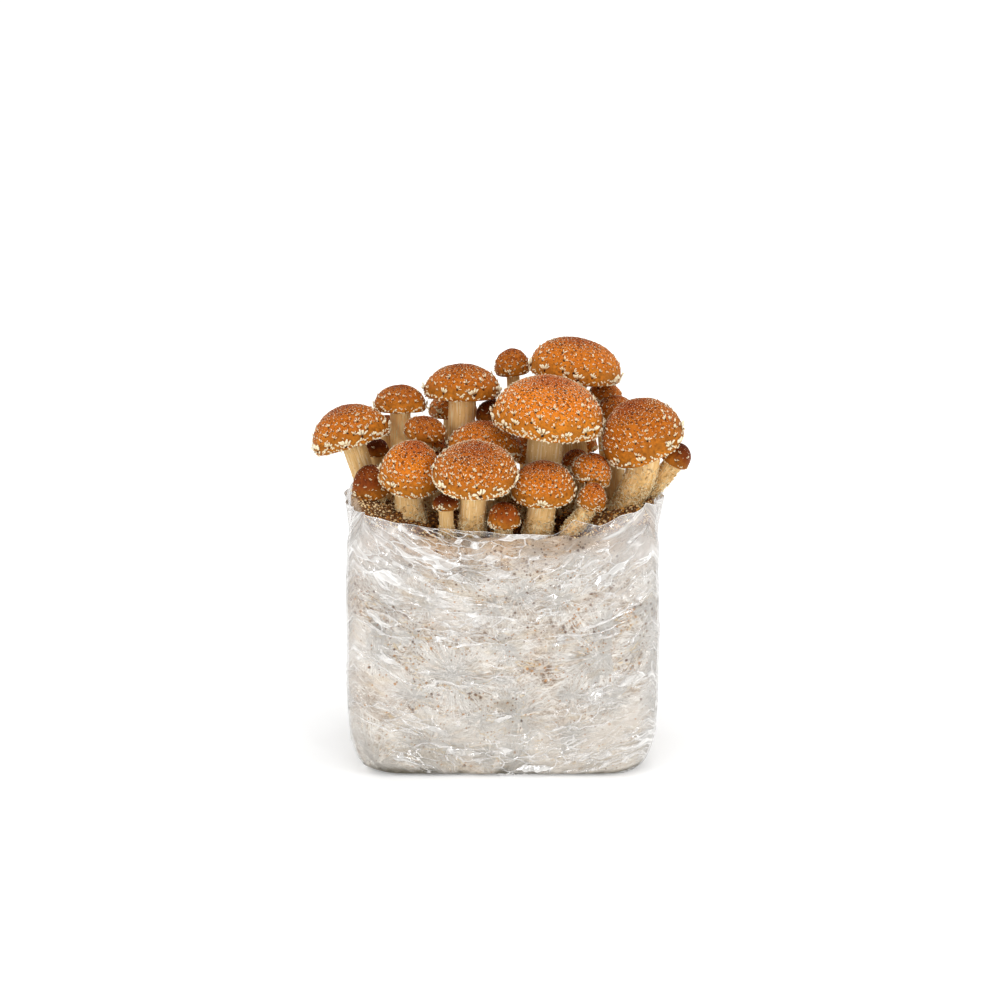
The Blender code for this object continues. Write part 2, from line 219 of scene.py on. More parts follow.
class Value:
    """A socket of a node tree. A sum written with it adds its own Math nodes."""

    __add__ = __radd__ = math_operator("ADD")
    __sub__, __rsub__ = math_operator("SUBTRACT"), math_operator("SUBTRACT", swapped=True)
    __mul__ = __rmul__ = math_operator("MULTIPLY")
    __truediv__ = math_operator("DIVIDE")
    __gt__, __lt__ = math_operator("GREATER_THAN"), math_operator("LESS_THAN")

    def __init__(self, socket):
        self.socket = socket

    @classmethod
    def node(cls, tree, kind, settings=None, inputs=None, output=0):
        """Adds a node with its settings, then the values or links of its sockets, and returns one output."""
        made = tree.nodes.new(kind)
        for name, setting in (settings or {}).items():
            if name == "stops":
                ramp = made.color_ramp.elements
                while len(ramp) < len(setting):
                    ramp.new(1.0)
                for element, stop in zip(ramp, setting):
                    element.position, element.color = stop
            else:
                setattr(made, name, setting)
        for name, value in (inputs or {}).items():
            if isinstance(value, Value):
                tree.links.new(value.socket, made.inputs[name])
            elif value is not None:
                made.inputs[name].default_value = value
        return cls(made.outputs[output])

    @property
    def tree(self):
        return self.socket.id_data

    def add(self, kind, settings=None, inputs=None, output=0):
        return Value.node(self.tree, kind, settings, inputs, output)

    def math(self, operation, *values):
        return self.add("ShaderNodeMath", {"operation": operation}, dict(enumerate(values)))

    def rise(self, low, high):
        """0 below low and 1 above high, smoothly. With low above high it falls."""
        ends = {1: low, 2: high, 3: 0.0, 4: 1.0} if low < high else {1: high, 2: low, 3: 1.0, 4: 0.0}
        return self.add("ShaderNodeMapRange", {"interpolation_type": "SMOOTHSTEP"}, {0: self, **ends})

    def vector(self, operation, *values):
        output = "Value" if operation in ("LENGTH", "DOT_PRODUCT") else "Vector"
        inputs = dict(enumerate((self, *values)))
        return self.add("ShaderNodeVectorMath", {"operation": operation}, inputs, output)

    def scaled(self, x, y, z):
        """This vector with its parts multiplied by these numbers."""
        return self.vector("MULTIPLY", (x, y, z))

    def part(self, axis):
        """The X, Y or Z of a vector, or the red, green or blue of a colour."""
        return self.add("ShaderNodeSeparateXYZ", None, {0: self}, axis)

    def beside(self, other, third=0.0):
        """The vector of this number, the other and a third."""
        return self.add("ShaderNodeCombineXYZ", None, {0: self, 1: other, 2: third})

    def upright(self):
        """The vector that is this number high."""
        return self.add("ShaderNodeCombineXYZ", None, {2: self})

    def strand(self, width):
        """1 on the lines where this noise crosses its middle, falling to 0 as far off them as width says."""
        off = self - 0.5
        return off.math("ABSOLUTE", off).rise(width, 0.0)

    def blend(self, other, factor, kind="MIX"):
        """This colour turned into the other one as far as factor says."""
        settings = {"data_type": "RGBA", "blend_type": kind}
        return self.add("ShaderNodeMix", settings, {0: factor, 6: self, 7: other}, 2)

    def noise(self, scale, detail=3.0, roughness=0.5, warp=0.0, output=0):
        """Noise over this vector, about 0 to 1."""
        inputs = {"Vector": self, "Scale": scale, "Detail": detail}
        inputs |= {"Roughness": roughness, "Distortion": warp}
        return self.add("ShaderNodeTexNoise", None, inputs, output)

    def cells(self, scale, output="Distance", feature="F1"):
        """The distance to the nearest of scattered points, or that point's colour or position."""
        inputs = {"Vector": self, "Scale": scale}
        return self.add("ShaderNodeTexVoronoi", {"feature": feature}, inputs, output)


class Finish:
    """A material: its tree, its Principled node and what its patterns read."""

    def __init__(self, name, **sockets):
        self.material = bpy.data.materials.new(name)
        self.material.use_nodes = True
        self.tree = self.material.node_tree
        self.surface = self.tree.nodes["Principled BSDF"]
        for socket, value in sockets.items():
            self.surface.inputs[socket.replace("_", " ")].default_value = value

    def place(self):
        """The place on the piece, in metres."""
        return Value.node(self.tree, "ShaderNodeTexCoord", output="Object")

    def attribute(self, name, output="Fac"):
        return Value.node(self.tree, "ShaderNodeAttribute", {"attribute_name": name}, output=output)

    def colour(self, value):
        """A colour as a socket, for a pattern to start from."""
        mix = {"data_type": "RGBA"}
        return Value.node(self.tree, "ShaderNodeMix", mix, {0: 0.0, 6: value, 7: value}, 2)

    def link(self, socket, value):
        self.tree.links.new(value.socket, self.surface.inputs[socket])

    def paint(self, base, *layers):
        """Colours the surface with a base and layers over it, each a colour, a factor and maybe a kind."""
        colour = self.colour(base)
        for layer in layers:
            colour = colour.blend(*layer)
        self.link("Base Color", colour)

    def bump(self, height, distance, strength=1.0):
        """Makes the surface's light follow this height, which is given in units of distance."""
        inputs = {"Height": height, "Distance": distance, "Strength": strength}
        self.link("Normal", Value.node(self.tree, "ShaderNodeBump", None, inputs, "Normal"))


def shape_tree(name, inputs):
    """A Geometry Nodes tree and its inputs by name: a dict of name to (socket type, default)."""
    tree = bpy.data.node_groups.new(name, "GeometryNodeTree")
    tree.interface.new_socket("Geometry", in_out="INPUT", socket_type="NodeSocketGeometry")
    tree.interface.new_socket("Geometry", in_out="OUTPUT", socket_type="NodeSocketGeometry")
    for label, (kind, default) in inputs.items():
        socket = tree.interface.new_socket(label, in_out="INPUT", socket_type="NodeSocket" + kind)
        if default is not None:
            socket.default_value = default
    given = tree.nodes.new("NodeGroupInput")
    return tree, {socket.name: Value(socket) for socket in given.outputs if socket.name}


def run_tree(obj, tree, **values):
    """The plain mesh that the tree makes of the object."""
    modifier = obj.modifiers.new(tree.name, "NODES")
    modifier.node_group = tree
    for item in tree.interface.items_tree:
        label = item.name.lower().replace(" ", "_")
        if item.in_out == "INPUT" and label in values:
            modifier[item.identifier] = values[label]
    mesh = plain_mesh(obj)
    obj.modifiers.remove(modifier)
    return mesh


# Meshes


def plain_mesh(obj):
    bpy.context.view_layer.update()
    graph = bpy.context.evaluated_depsgraph_get()
    shown = obj.evaluated_get(graph)
    return bpy.data.meshes.new_from_object(shown, preserve_all_data_layers=True, depsgraph=graph)


def face_mesh(name, points, faces, **attributes):
    """A mesh of these points and faces, with one number or vector a point for each attribute."""
    mesh = bpy.data.meshes.new(name)
    mesh.from_pydata([tuple(point) for point in points], [], faces)
    for label, values in attributes.items():
        values = np.asarray(values, np.float32)
        kind, field = ("FLOAT", "value") if values.ndim == 1 else ("FLOAT_VECTOR", "vector")
        mesh.attributes.new(label, kind, "POINT").data.foreach_set(field, values.ravel())
    return mesh


def ring_mesh(name, rings, first, last=None, flip=False, **attributes):
    """Smooth faces between rings of as many points, closed by a first and maybe a last pole."""
    rings = np.asarray(rings, float)
    rows, count = rings.shape[:2]
    index = np.arange(rows * count).reshape(rows, count)
    after = np.roll(index, -1, axis=1)
    points = [rings.reshape(-1, 3), np.array([first], float)]
    faces = np.stack([index[:-1], after[:-1], after[1:], index[1:]], -1).reshape(-1, 4).tolist()
    faces += [(b, a, rows * count) for a, b in zip(index[0], after[0])]
    if last is not None:
        points.append(np.array([last], float))
        faces += [(a, b, rows * count + 1) for a, b in zip(index[-1], after[-1])]
    if flip:
        faces = [face[::-1] for face in faces]
    mesh = face_mesh(name, np.concatenate(points).tolist(), faces, **attributes)
    mesh.shade_smooth()
    return mesh


def new_object(name, mesh, *materials):
    obj = bpy.data.objects.new(name, mesh)
    bpy.context.scene.collection.objects.link(obj)
    mesh.name = name
    if materials:
        mesh.materials.clear()
    for material in materials:
        mesh.materials.append(material)
    return obj


def joined(meshes):
    """One mesh of several, which are taken away. It has no materials yet."""
    shape = bmesh.new()
    for mesh in meshes:
        shape.from_mesh(mesh)
    whole = bpy.data.meshes.new("joined")
    shape.to_mesh(whole)
    shape.free()
    for mesh in meshes:
        bpy.data.meshes.remove(mesh)
    return whole


def keep(piece, slot, *nodes):
    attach(piece, BODY)
    if nodes:
        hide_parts(*nodes)


# The bag's wall


def inward(section, inset):
    """A section (ends, faces, corner) moved in by this many mm all round, or by one number for each place."""
    ends, faces, corner = section
    return ends + inset, faces + inset, np.maximum(corner - inset, 2.0)


def outline(section, places):
    """(points, outward directions) in mm at these places round a section of the bag."""
    places = np.asarray(places) % AROUND
    ends, faces, corner = (np.broadcast_to(value, places.shape) for value in section)
    reach = np.stack([HALF_WIDTH - ends - corner, HALF_DEPTH - faces - corner], -1)
    signs = np.array([(1, -1), (1, 1), (-1, 1), (-1, -1)])
    turns = 0.0, ARC + NARROW, 2 * ARC + NARROW + WIDE, 3 * ARC + 2 * NARROW + WIDE, AROUND
    points, outs = np.zeros((len(places), 2)), np.zeros((len(places), 2))
    for index, (start, end) in enumerate(zip(turns, turns[1:])):
        here = (places >= start) & (places < end)
        along = places[here] - start
        angle = math.pi / 2 * (index - 1 + np.minimum(along / ARC, 1.0))
        out = np.stack([np.cos(angle), np.sin(angle)], -1)
        side = np.maximum(along - ARC, 0) / (end - start - ARC)
        toward = signs[index] + side[:, None] * (signs[(index + 1) % 4] - signs[index])
        points[here], outs[here] = reach[here] * toward + corner[here, None] * out, out
    return points, outs


def wall_section(height):
    """The section of the wall at this height, with its bends rounded."""
    fine = np.arange(height - 4.0, height + 4.5, 0.5)
    share = np.exp(-((fine - height) ** 2) / 4.0)
    levels = np.array(WALL_LEVELS)
    below = np.maximum(-fine, 0)
    section = []
    for column, slope in ((1, 1.7), (2, 1.2), (3, 0.0)):
        values = np.interp(fine, levels[:, 0], levels[:, column]) + slope * below
        section.append(float((values * share).sum() / share.sum()))
    return tuple(section)


def fold_push(places, height):
    """The slow bulges of the wall, as the solid has them."""
    widest = outline((0.0, 0.0, CORNER), places)[0]
    return np.array([FOLD_DEPTH * noise.noise(Vector((x, y, height)) / FOLD_SIZE) for x, y in widest])


def along_rim(table, places):
    """The values of a table of (place, value) at these places of the rim."""
    where, values = zip(*table)
    return np.interp(places, where + (AROUND,), values + (values[0],))


def past(places, middle):
    """How far these places round the bag lie past another one, the short way."""
    return (places - middle + AROUND / 2) % AROUND - AROUND / 2


def swag(places, heights):
    """Places on a round wall of the same girth, so that no seam shows, at the height where the film's pull
    has them. The pull sags between the bag's corners and fans at their feet.
    """
    places, heights = np.asarray(places, float), np.asarray(heights, float)
    middles, widths = np.array(SIDES).T
    share = np.min(np.abs(past(places[..., None], middles)) / (widths + ARC), axis=-1)
    angle, radius = places / AROUND * math.tau, AROUND / math.tau
    sag = 90 * share**2 * (0.6 + heights / 160)
    return np.stack([radius * np.cos(angle), radius * np.sin(angle), heights - sag], -1)


def floor_rings(places, inset, height, shares):
    """(rings, their swags) of a flat base, at these shares of the way from its middle to the wall."""
    ring, _ = outline(inward(wall_section(0.0), inset), places)
    zeros, run = np.zeros(len(places)), 40
    rings = [np.c_[ring * share, zeros + height] for share in shares]
    return rings, [swag(places, zeros + run * (share - 1)) for share in shares]


def crease_field(places, heights, creases, seed):
    """Height of the film's creases over a grid: flat-sided folds that hang in swags between the corners."""
    chance = random.Random(seed)
    field = np.zeros((len(heights), len(places)))
    for share, shortest, longest, narrowest, widest, slope in CREASES:
        for _ in range(round(share * creases)):
            start, level = chance.uniform(0, AROUND), chance.uniform(6, 182)
            offsets = [(past(start, middle), width) for middle, width in SIDES]
            offset, width = min(offsets, key=lambda side: abs(side[0]) / side[1])
            tilt = math.atan(1.15 * offset / width) + chance.gauss(0, 0.22)
            length, steep = chance.uniform(shortest, longest), chance.uniform(narrowest, widest)
            depth = steep * slope * chance.uniform(0.5, 1.2) * chance.choice((1, 1, -1))
            across = past(places, start)
            near_s = np.abs(across) < 1.6 * length + 8
            near_z = np.abs(heights - level) < 1.6 * length * abs(math.sin(tilt)) + 16
            if not near_s.any() or not near_z.any():
                continue
            along_s, up = np.meshgrid(across[near_s], heights[near_z] - level)
            u = along_s * math.cos(tilt) + up * math.sin(tilt)
            v = up * math.cos(tilt) - along_s * math.sin(tilt)
            ends = np.where(u > 0, u / (length * chance.uniform(0.4, 1.6)), -u / length)
            flanks = np.where(v > 0, v / (steep * chance.uniform(0.9, 2.6)), -v / steep)
            field[np.ix_(near_z, near_s)] += depth * np.maximum(0, 1 - ends - flanks)
    return field


# Mushroom shapes


def cap_place(mushroom):
    right, front = mushroom.lean
    turn = Matrix.Rotation(math.radians(right), 4, "Y") @ Matrix.Rotation(math.radians(front), 4, "X")
    return Matrix.Translation(Vector(mushroom.cap) * MM) @ turn


def cap_profile(mushroom):
    """(radius, height, reach) in mm. Reach is 0 at the crown, 1 at the widest ring and more under it."""
    radius, dome = mushroom.width / 2 - PROUD, mushroom.dome - 0.6 * PROUD
    lip = 0.11 * radius + 1.0
    collar = mushroom.stem[0] / 2 - 0.4
    rows = max(14, round(radius * (2.2 if mushroom.name == RINGED else 1.1)))
    points = []
    for row in range(1, rows + 1):
        angle = math.pi / 2 * row / rows
        points.append((radius * math.sin(angle), dome * math.cos(angle), row / rows))
    for turn in (0.25, 0.5, 0.75, 1.0):
        angle = math.pi / 2 * turn
        points.append((radius * (1 - 0.06 * (1 - math.cos(angle))), -lip * math.sin(angle), 1 + 0.1 * turn))
    points.append((0.91 * radius, -0.95 * lip, 1.14))
    points.append((0.87 * radius, -0.6 * lip, 1.18))
    under = max(0.8 * radius, collar + 1.5)
    for share in (0.0, 0.25, 0.5, 0.75, 1.0):
        height = -0.2 * lip + share * (0.15 * dome + 0.2 * lip)
        points.append((under + (collar - under) * share, height, 1.3 + 0.2 * share))
    return points


def cap_mesh(mushroom):
    """The skin of a cap with its gently uneven dome and rolled-in rim, in the cap's own place."""
    number = int(mushroom.name)
    count = int(min(max(mushroom.width * 2.1, 44), 150))
    angles = np.arange(count) * math.tau / count
    wave = 0.025 * (np.sin(2 * angles + number) + 0.6 * np.sin(5 * angles + 2 * number))
    collar = mushroom.stem[0] / 2 + 1.2
    rings, reach = [], []
    for radius, height, share in cap_profile(mushroom):
        spread = radius * (1 + wave * (radius > collar) * min(share, 1.0))
        rings.append(np.stack([spread * np.cos(angles), spread * np.sin(angles), np.full(count, height)], -1))
        reach += [share] * count
    rings = np.array(rings)
    for row, ring in enumerate(rings):
        share = reach[row * count]
        if share > 1.2:
            continue
        for index, (x, y, z) in enumerate(ring):
            here = Vector((x, y, z)) + Vector((0, 0, 97.0 * number))
            bump = 0.5 * noise.noise(here / 11) + 0.22 * noise.noise(here / 3.6)
            if mushroom.name == RINGED:
                bump += 0.38 * math.sin(share * 66 + 3 * noise.noise(here / 9)) * max(0.0, 1 - share / 0.5)
            out = Vector((x, y, z * (mushroom.width / mushroom.dome / 2) ** 2 if z > 0 else z)).normalized()
            ring[index] = Vector((x, y, z)) + out * bump
    crown, middle = (0, 0, rings[0][:, 2].mean() + 0.05), (0, 0, rings[-1][:, 2].mean())
    reach = np.append(reach, [0.0, 1.5])
    dark = np.full(len(reach), mushroom.dark)
    return ring_mesh("cap", rings * MM, Vector(crown) * MM, Vector(middle) * MM, True, reach=reach, dark=dark)


def gill_mesh(mushroom):
    """One gill: a thin upright blade from the stem to the rim's roll."""
    radius, dome = mushroom.width / 2, mushroom.dome
    lip = 0.11 * radius + 1.0
    inner, outer = mushroom.stem[0] / 2 - 0.2, 0.86 * radius
    drop = 0.05 * radius + 0.6
    line = []
    for share in np.linspace(0, 1, 5):
        at = inner + (outer - inner) * share
        under = max(0.8 * radius, inner + 1.9)
        above = 0.15 * dome - (0.15 * dome + 0.2 * lip) * min((at - inner) / (under - inner), 1.0) + 0.3
        line.append((at, above, above - drop * math.sin(math.pi * (0.16 + 0.72 * share)) - 0.3))
    thick = 0.16 + 0.004 * radius
    points, faces = [], []
    for at, above, below in line:
        points += [(at, -thick, above), (at, thick, above), (at, 0, below)]
    for index in range(len(line) - 1):
        a = 3 * index
        faces += [(a, a + 3, a + 5, a + 2), (a + 1, a + 2, a + 5, a + 4), (a, a + 1, a + 4, a + 3)]
    last = 3 * (len(line) - 1)
    faces += [(0, 2, 1), (last, last + 1, last + 2)]
    return face_mesh("gill", np.array(points) * MM, faces)


def stem_path(mushroom):
    """(points in metres, widths) from inside the block to the cap, on the solid's own line."""
    place = cap_place(mushroom)
    axis = (place.to_3x3() @ Vector((0, 0, 1))).normalized()
    top = place @ Vector((0, 0, (0.15 * mushroom.dome - 0.35) * MM))
    root = Vector((mushroom.foot[0] * MM, mushroom.foot[1] * MM, ROOT))
    reach = (top - root).length / 3
    above_root = root + Vector((0, 0, reach))
    below_top = top - axis * reach
    waist = (above_root + below_top) / 2
    along = (below_top - above_root + (top - root) / 2) / 6
    ends = [(root, Vector((0, 0, reach / 2))), (waist, along), (top, axis * reach / 2)]
    steps = max(12, round((top - root).length / MM / 1.7 / 2))
    line = []
    for (start, out), (end, into) in zip(ends, ends[1:]):
        line += geometry.interpolate_bezier(start, start + out, end - into, end, steps + 1)[len(line) > 0 :]
    widths = np.interp(np.linspace(0, 2, len(line)), (0, 1, 2), mushroom.stem[::-1])
    return [Vector(point) for point in line], widths


def stem_mesh(mushroom):
    """A stem with soft lengthwise fibres and a bulb at its foot."""
    line, widths = stem_path(mushroom)
    number = int(mushroom.name)
    count = int(min(max(mushroom.stem[1] * 3.2, 30), 72))
    angles = np.arange(count) * math.tau / count
    side = Vector((0, -1, 0))
    rings, grain = [], []
    for index, (here, width) in enumerate(zip(line, widths)):
        before, after = line[max(index - 1, 0)], line[min(index + 1, len(line) - 1)]
        along = (after - before).normalized()
        side = (side - along * side.dot(along)).normalized()
        other = along.cross(side)
        height = (here.z - BLOCK_TOP) / MM
        bulb = 1 + 0.10 * math.exp(-((height - 3) / 7) ** 2)
        ring = []
        for angle in angles:
            out = side * math.cos(angle) + other * math.sin(angle)
            seed = Vector((2.4 * math.cos(angle), 2.4 * math.sin(angle), height / 30 + 13 * number))
            radius = width / 2 * bulb * (1 + 0.035 * noise.noise(seed))
            fine = Vector((9 * math.cos(angle), 9 * math.sin(angle), height / 12 + 7 * number))
            rough = 0.16 + 0.5 * max(0.0, 1 - height / 18)
            radius += rough * noise.noise(fine)
            ring.append(here + out * radius * MM)
            grain.append((math.cos(angle), math.sin(angle), height / width + 5 * number))
        rings.append(ring)
    grain += [(0, 0, 0), (0, 0, 0)]
    low = [(point.z - BLOCK_TOP) / MM for ring in rings for point in ring] + [0.0, 60.0]
    # Each stem's factor of painted light and shade on its colour
    tone = np.full(len(low), STEM_PAINTED_LIGHT.get(mushroom.name, 1.0))
    reach = np.array(low) / WOOLLY.get(mushroom.name, 16)
    return ring_mesh("stem", rings, line[0], line[-1], reach=reach, grain=grain, height=low, tone=tone)


def tuft_shape(name, hairs, seed, fan, lift, girth, foot, long):
    """A tuft one unit wide: pale curved hairs that fan out along +X from one root, before a dark scale, which
    is the scale's brown base with a painted shadow beside the hairs.

    Its tip attribute is 0 on the scale and rises to 1 at the hairs' ends.
    """
    chance = random.Random(seed)
    points, faces, tips = [], [], []
    # The dark scale: the brown base of the scale and a painted shadow beside the hairs
    if foot:
        for turn in range(5):
            angle, reach = math.tau * turn / 5, foot * chance.uniform(0.75, 1.25)
            points.append((reach * math.cos(angle) - 0.38, reach * math.sin(angle), -0.05))
        points.append((-0.38, 0.0, 0.1))
        tips += [0.0] * 6
        faces += [(turn, (turn + 1) % 5, 5) for turn in range(5)] + [(4, 3, 2, 1, 0)]
    for hair in range(hairs):
        swing = ((hair + 0.5) / hairs - 0.5) * fan + chance.uniform(-0.15, 0.15)
        bend, length = chance.uniform(-0.5, 0.5), long * chance.uniform(0.75, 1.25)
        rise = math.radians(lift) * chance.uniform(0.6, 1.4)
        here, first = Vector((-0.25, 0.03 * swing * hairs, 0.0)), len(points)
        for stage, (step, wide, tip) in enumerate(((0.0, 0.6, 0.3), (0.45, 1.0, 0.85), (0.4, 0.85, 1.0))):
            turn = swing + bend * stage / 2
            along = Vector((math.cos(rise) * math.cos(turn), math.cos(rise) * math.sin(turn), math.sin(rise)))
            here = here + along * length * step
            side = Vector((0, 0, 1)).cross(along).normalized()
            over = along.cross(side)
            for corner in range(3):
                angle = math.tau * corner / 3 + math.pi / 2
                points.append(here + (side * math.cos(angle) + over * math.sin(angle)) * girth * wide)
                tips.append(tip)
        points.append(here + along * length * 0.12)
        tips.append(1.0)
        faces.append((first + 2, first + 1, first))
        for ring in (first, first + 3):
            faces += [(ring + a, ring + b, ring + b + 3, ring + a + 3) for a, b in ((0, 1), (1, 2), (2, 0))]
        faces += [(first + 6 + a, first + 6 + b, first + 9) for a, b in ((0, 1), (1, 2), (2, 0))]
    mesh = face_mesh(name, points, faces, tip=tips)
    mesh.shade_smooth()
    return mesh


def crumb_shape(name, seed):
    """A crumb of sawdust about one unit long."""
    chance = random.Random(seed)
    shape = bmesh.new()
    bmesh.ops.create_icosphere(shape, subdivisions=1, radius=0.5)
    stretch = Vector((1.0, chance.uniform(0.5, 0.8), chance.uniform(0.4, 0.7)))
    for vert in shape.verts:
        vert.co = Vector(a * b * chance.uniform(0.75, 1.25) for a, b in zip(vert.co, stretch))
    mesh = bpy.data.meshes.new(name)
    shape.to_mesh(mesh)
    shape.free()
    return mesh


def shelf(name, meshes):
    """A collection of the shapes that a tree picks from. It is taken away when the pieces are made."""
    collection = bpy.data.collections.new(name)
    for mesh in meshes:
        collection.objects.link(bpy.data.objects.new(mesh.name, mesh))
    return collection


def tuft_shelf(kind):
    """A shelf of the shapes of one kind of tuft."""
    count, fewest, numbers, first, *form = TUFTS[kind]
    shapes = [tuft_shape(f"{kind}_{n}", fewest + n % numbers, first + n, *form) for n in range(count)]
    return shelf(kind, shapes)


def clear_shelf(collection):
    for obj in list(collection.objects):
        bpy.data.objects.remove(obj)
    bpy.data.collections.remove(collection)


def end_tree(tree, result, material):
    """Realizes what the tree has made, gives it its material and links it to the tree's output."""
    whole = Value.node(tree, "GeometryNodeRealizeInstances", None, {"Geometry": result})
    whole = Value.node(tree, "GeometryNodeSetMaterial", None, {"Geometry": whole, "Material": material})
    tree.links.new(whole.socket, tree.nodes.new("NodeGroupOutput").inputs[0])


def random_value(tree, low, high, seed):
    """A random number between these for each point."""
    inputs = {2: low, 3: high, "Seed": seed}
    return Value.node(tree, "FunctionNodeRandomValue", {"data_type": "FLOAT"}, inputs, 1)


def tuft_tree():
    """Scatters leaning shapes over the part of a surface whose reach lies between two shares."""
    inputs = {
        "Shapes": ("Collection", None),
        "Material": ("Material", None),
        "From reach": ("Float", 0.0),
        "To reach": ("Float", 1.0),
        "Spacing": ("Float", 0.003),
        "Size": ("Float", 0.002),
        "Turn": ("Float", 0.0),
        "Sway": ("Float", 0.9),
        "Seed": ("Int", 1),
    }
    tree, given = shape_tree("scattered tufts", inputs)
    node = partial(Value.node, tree)
    reach = node("GeometryNodeInputNamedAttribute", {"data_type": "FLOAT"}, {"Name": "reach"})
    spread = {
        "Mesh": given["Geometry"],
        "Selection": (reach > given["From reach"]) * (reach < given["To reach"]),
        "Distance Min": given["Spacing"],
        "Density Max": 1e6,
        "Seed": given["Seed"],
    }
    points = node("GeometryNodeDistributePointsOnFaces", {"distribute_method": "POISSON"}, spread, "Points")
    rotation = Value(points.socket.node.outputs["Rotation"])
    downhill = node("GeometryNodeInputPosition").scaled(1.0, 1.0, 0.0).vector("ADD", (0.0, 0.0, -0.02))
    facing = {"Rotation": rotation, "Vector": downhill}
    facing = node("FunctionNodeAlignRotationToVector", {"axis": "X", "pivot_axis": "Z"}, facing)
    swing = (given["Turn"] + given["Sway"] * random_value(tree, -1.0, 1.0, 3)).upright()
    facing = node("FunctionNodeRotateRotation", {"rotation_space": "LOCAL"}, {0: facing, 1: swing})
    shapes = {"Collection": given["Shapes"], "Separate Children": True, "Reset Children": True}
    laid = {
        "Points": points,
        "Instance": node("GeometryNodeCollectionInfo", None, shapes),
        "Pick Instance": True,
        "Rotation": facing,
        "Scale": given["Size"] * random_value(tree, 0.6, 1.35, 5),
    }
    laid = node("GeometryNodeInstanceOnPoints", None, laid)
    named = {"Geometry": laid, "Name": "tint", "Value": random_value(tree, -0.5, 0.5, 8)}
    laid = node("GeometryNodeStoreNamedAttribute", {"data_type": "FLOAT", "domain": "INSTANCE"}, named)
    end_tree(tree, laid, given["Material"])
    return tree


def scatter(source, tree, material, bands, seed):
    """One mesh of the shapes that the tuft tree lays over the source, a band at a time.

    A band is (shapes, from reach, to reach, spacing, size, turn, sway). The first has this seed.
    """
    parts = []
    for number, (shapes, start, end, spacing, size, turn, sway) in enumerate(bands):
        values = {"shapes": shapes, "material": material, "from_reach": start, "to_reach": end}
        values |= {"spacing": spacing, "size": size, "turn": turn, "sway": sway, "seed": seed + number}
        parts.append(run_tree(source, tree, **values))
    return joined(parts)


def gill_tree():
    """Repeats a blade round the cap's axis."""
    inputs = {"Material": ("Material", None), "Count": ("Int", 60), "Seed": ("Int", 1)}
    tree, given = shape_tree("ring of gills", inputs)
    node = partial(Value.node, tree)
    points = node("GeometryNodeMeshLine", None, {"Count": given["Count"], "Offset": (0.0, 0.0, 0.0)})
    jitter = random_value(tree, -0.25, 0.25, given["Seed"])
    turn = ((node("GeometryNodeInputIndex") + jitter) * math.tau / given["Count"]).upright()
    blade = node("GeometryNodeGeometryToInstance", None, {"Geometry": given["Geometry"]})
    laid = node("GeometryNodeInstanceOnPoints", None, {"Points": points, "Instance": blade, "Rotation": turn})
    end_tree(tree, laid, given["Material"])
    return tree


# Finishes


def cap_finish(name, crown, middle, rim):
    """Satin skin: red-brown at the crown, orange, golden brown at the rim darkened by painted shade, and pale
    underneath.
    """
    look = Finish(name, Roughness=0.5, Specular_IOR_Level=0.08)
    place, reach, dark = look.place(), look.attribute("reach"), look.attribute("dark")
    broad, fine, pit_specks_and_shade = place.noise(70, 3, 0.55), place.noise(420, 4, 0.65), place.cells(430)
    shifted = reach + (broad - 0.5) * 0.35
    look.paint(
        crown,
        (middle, shifted.rise(0.05, 0.5)),
        # Golden brown towards the rim, made darker there as painted shade
        (rim, shifted.rise(0.6, 0.98)),
        ((0.86, 0.27, 0.02, 1.0), (broad + fine).rise(1.0, 1.25) * shifted.rise(0.15, 0.5) * 0.6),
        # Each cap's own darkness, which for cap 15 is partly painted shade
        (BROWN, dark * (1 - shifted.rise(0.5, 1.1) * 0.55)),
        # Dark brown specks in small pits, partly painted shade
        (BROWN, pit_specks_and_shade.rise(0.45, 0.24) * (shifted.rise(0.95, 0.2) * 0.9 + 0.1)),
        (BROWN, fine.rise(0.52, 0.3) * 0.45),
        ((0.60, 0.42, 0.18, 1.0), reach.rise(1.08, 1.16)),
    )
    look.link("Roughness", fine * 0.25 + 0.4)
    look.bump(fine * 0.6 + pit_specks_and_shade * 0.6, 0.0006, 0.8)
    return look.material


def gill_finish():
    look = Finish("gills", Roughness=0.8)
    shade = look.place().noise(300, 3).rise(0.35, 0.7)
    look.paint((0.50, 0.34, 0.14, 1.0), ((0.26, 0.15, 0.05, 1.0), shade))
    return look.material


def tuft_finish(name, pale, foot, mottle=0.25):
    """Woolly tufts, pale at the tip and brown at the foot; on the caps the dark foot is partly a painted
    shadow. Mottle says how much they differ.
    """
    look = Finish(name, Roughness=0.8, Specular_IOR_Level=0.3)
    tip, tint, grain = look.attribute("tip"), look.attribute("tint"), look.place().noise(900, 3, 0.6)
    light = (tip + tint * mottle + (grain - 0.5) * 0.25).rise(0.4, 0.8)
    look.paint(foot, ((0.62, 0.36, 0.11, 1.0), tip.rise(0.1, 0.4)), (pale, light))
    look.bump(grain, 0.0003, 0.6)
    return look.material


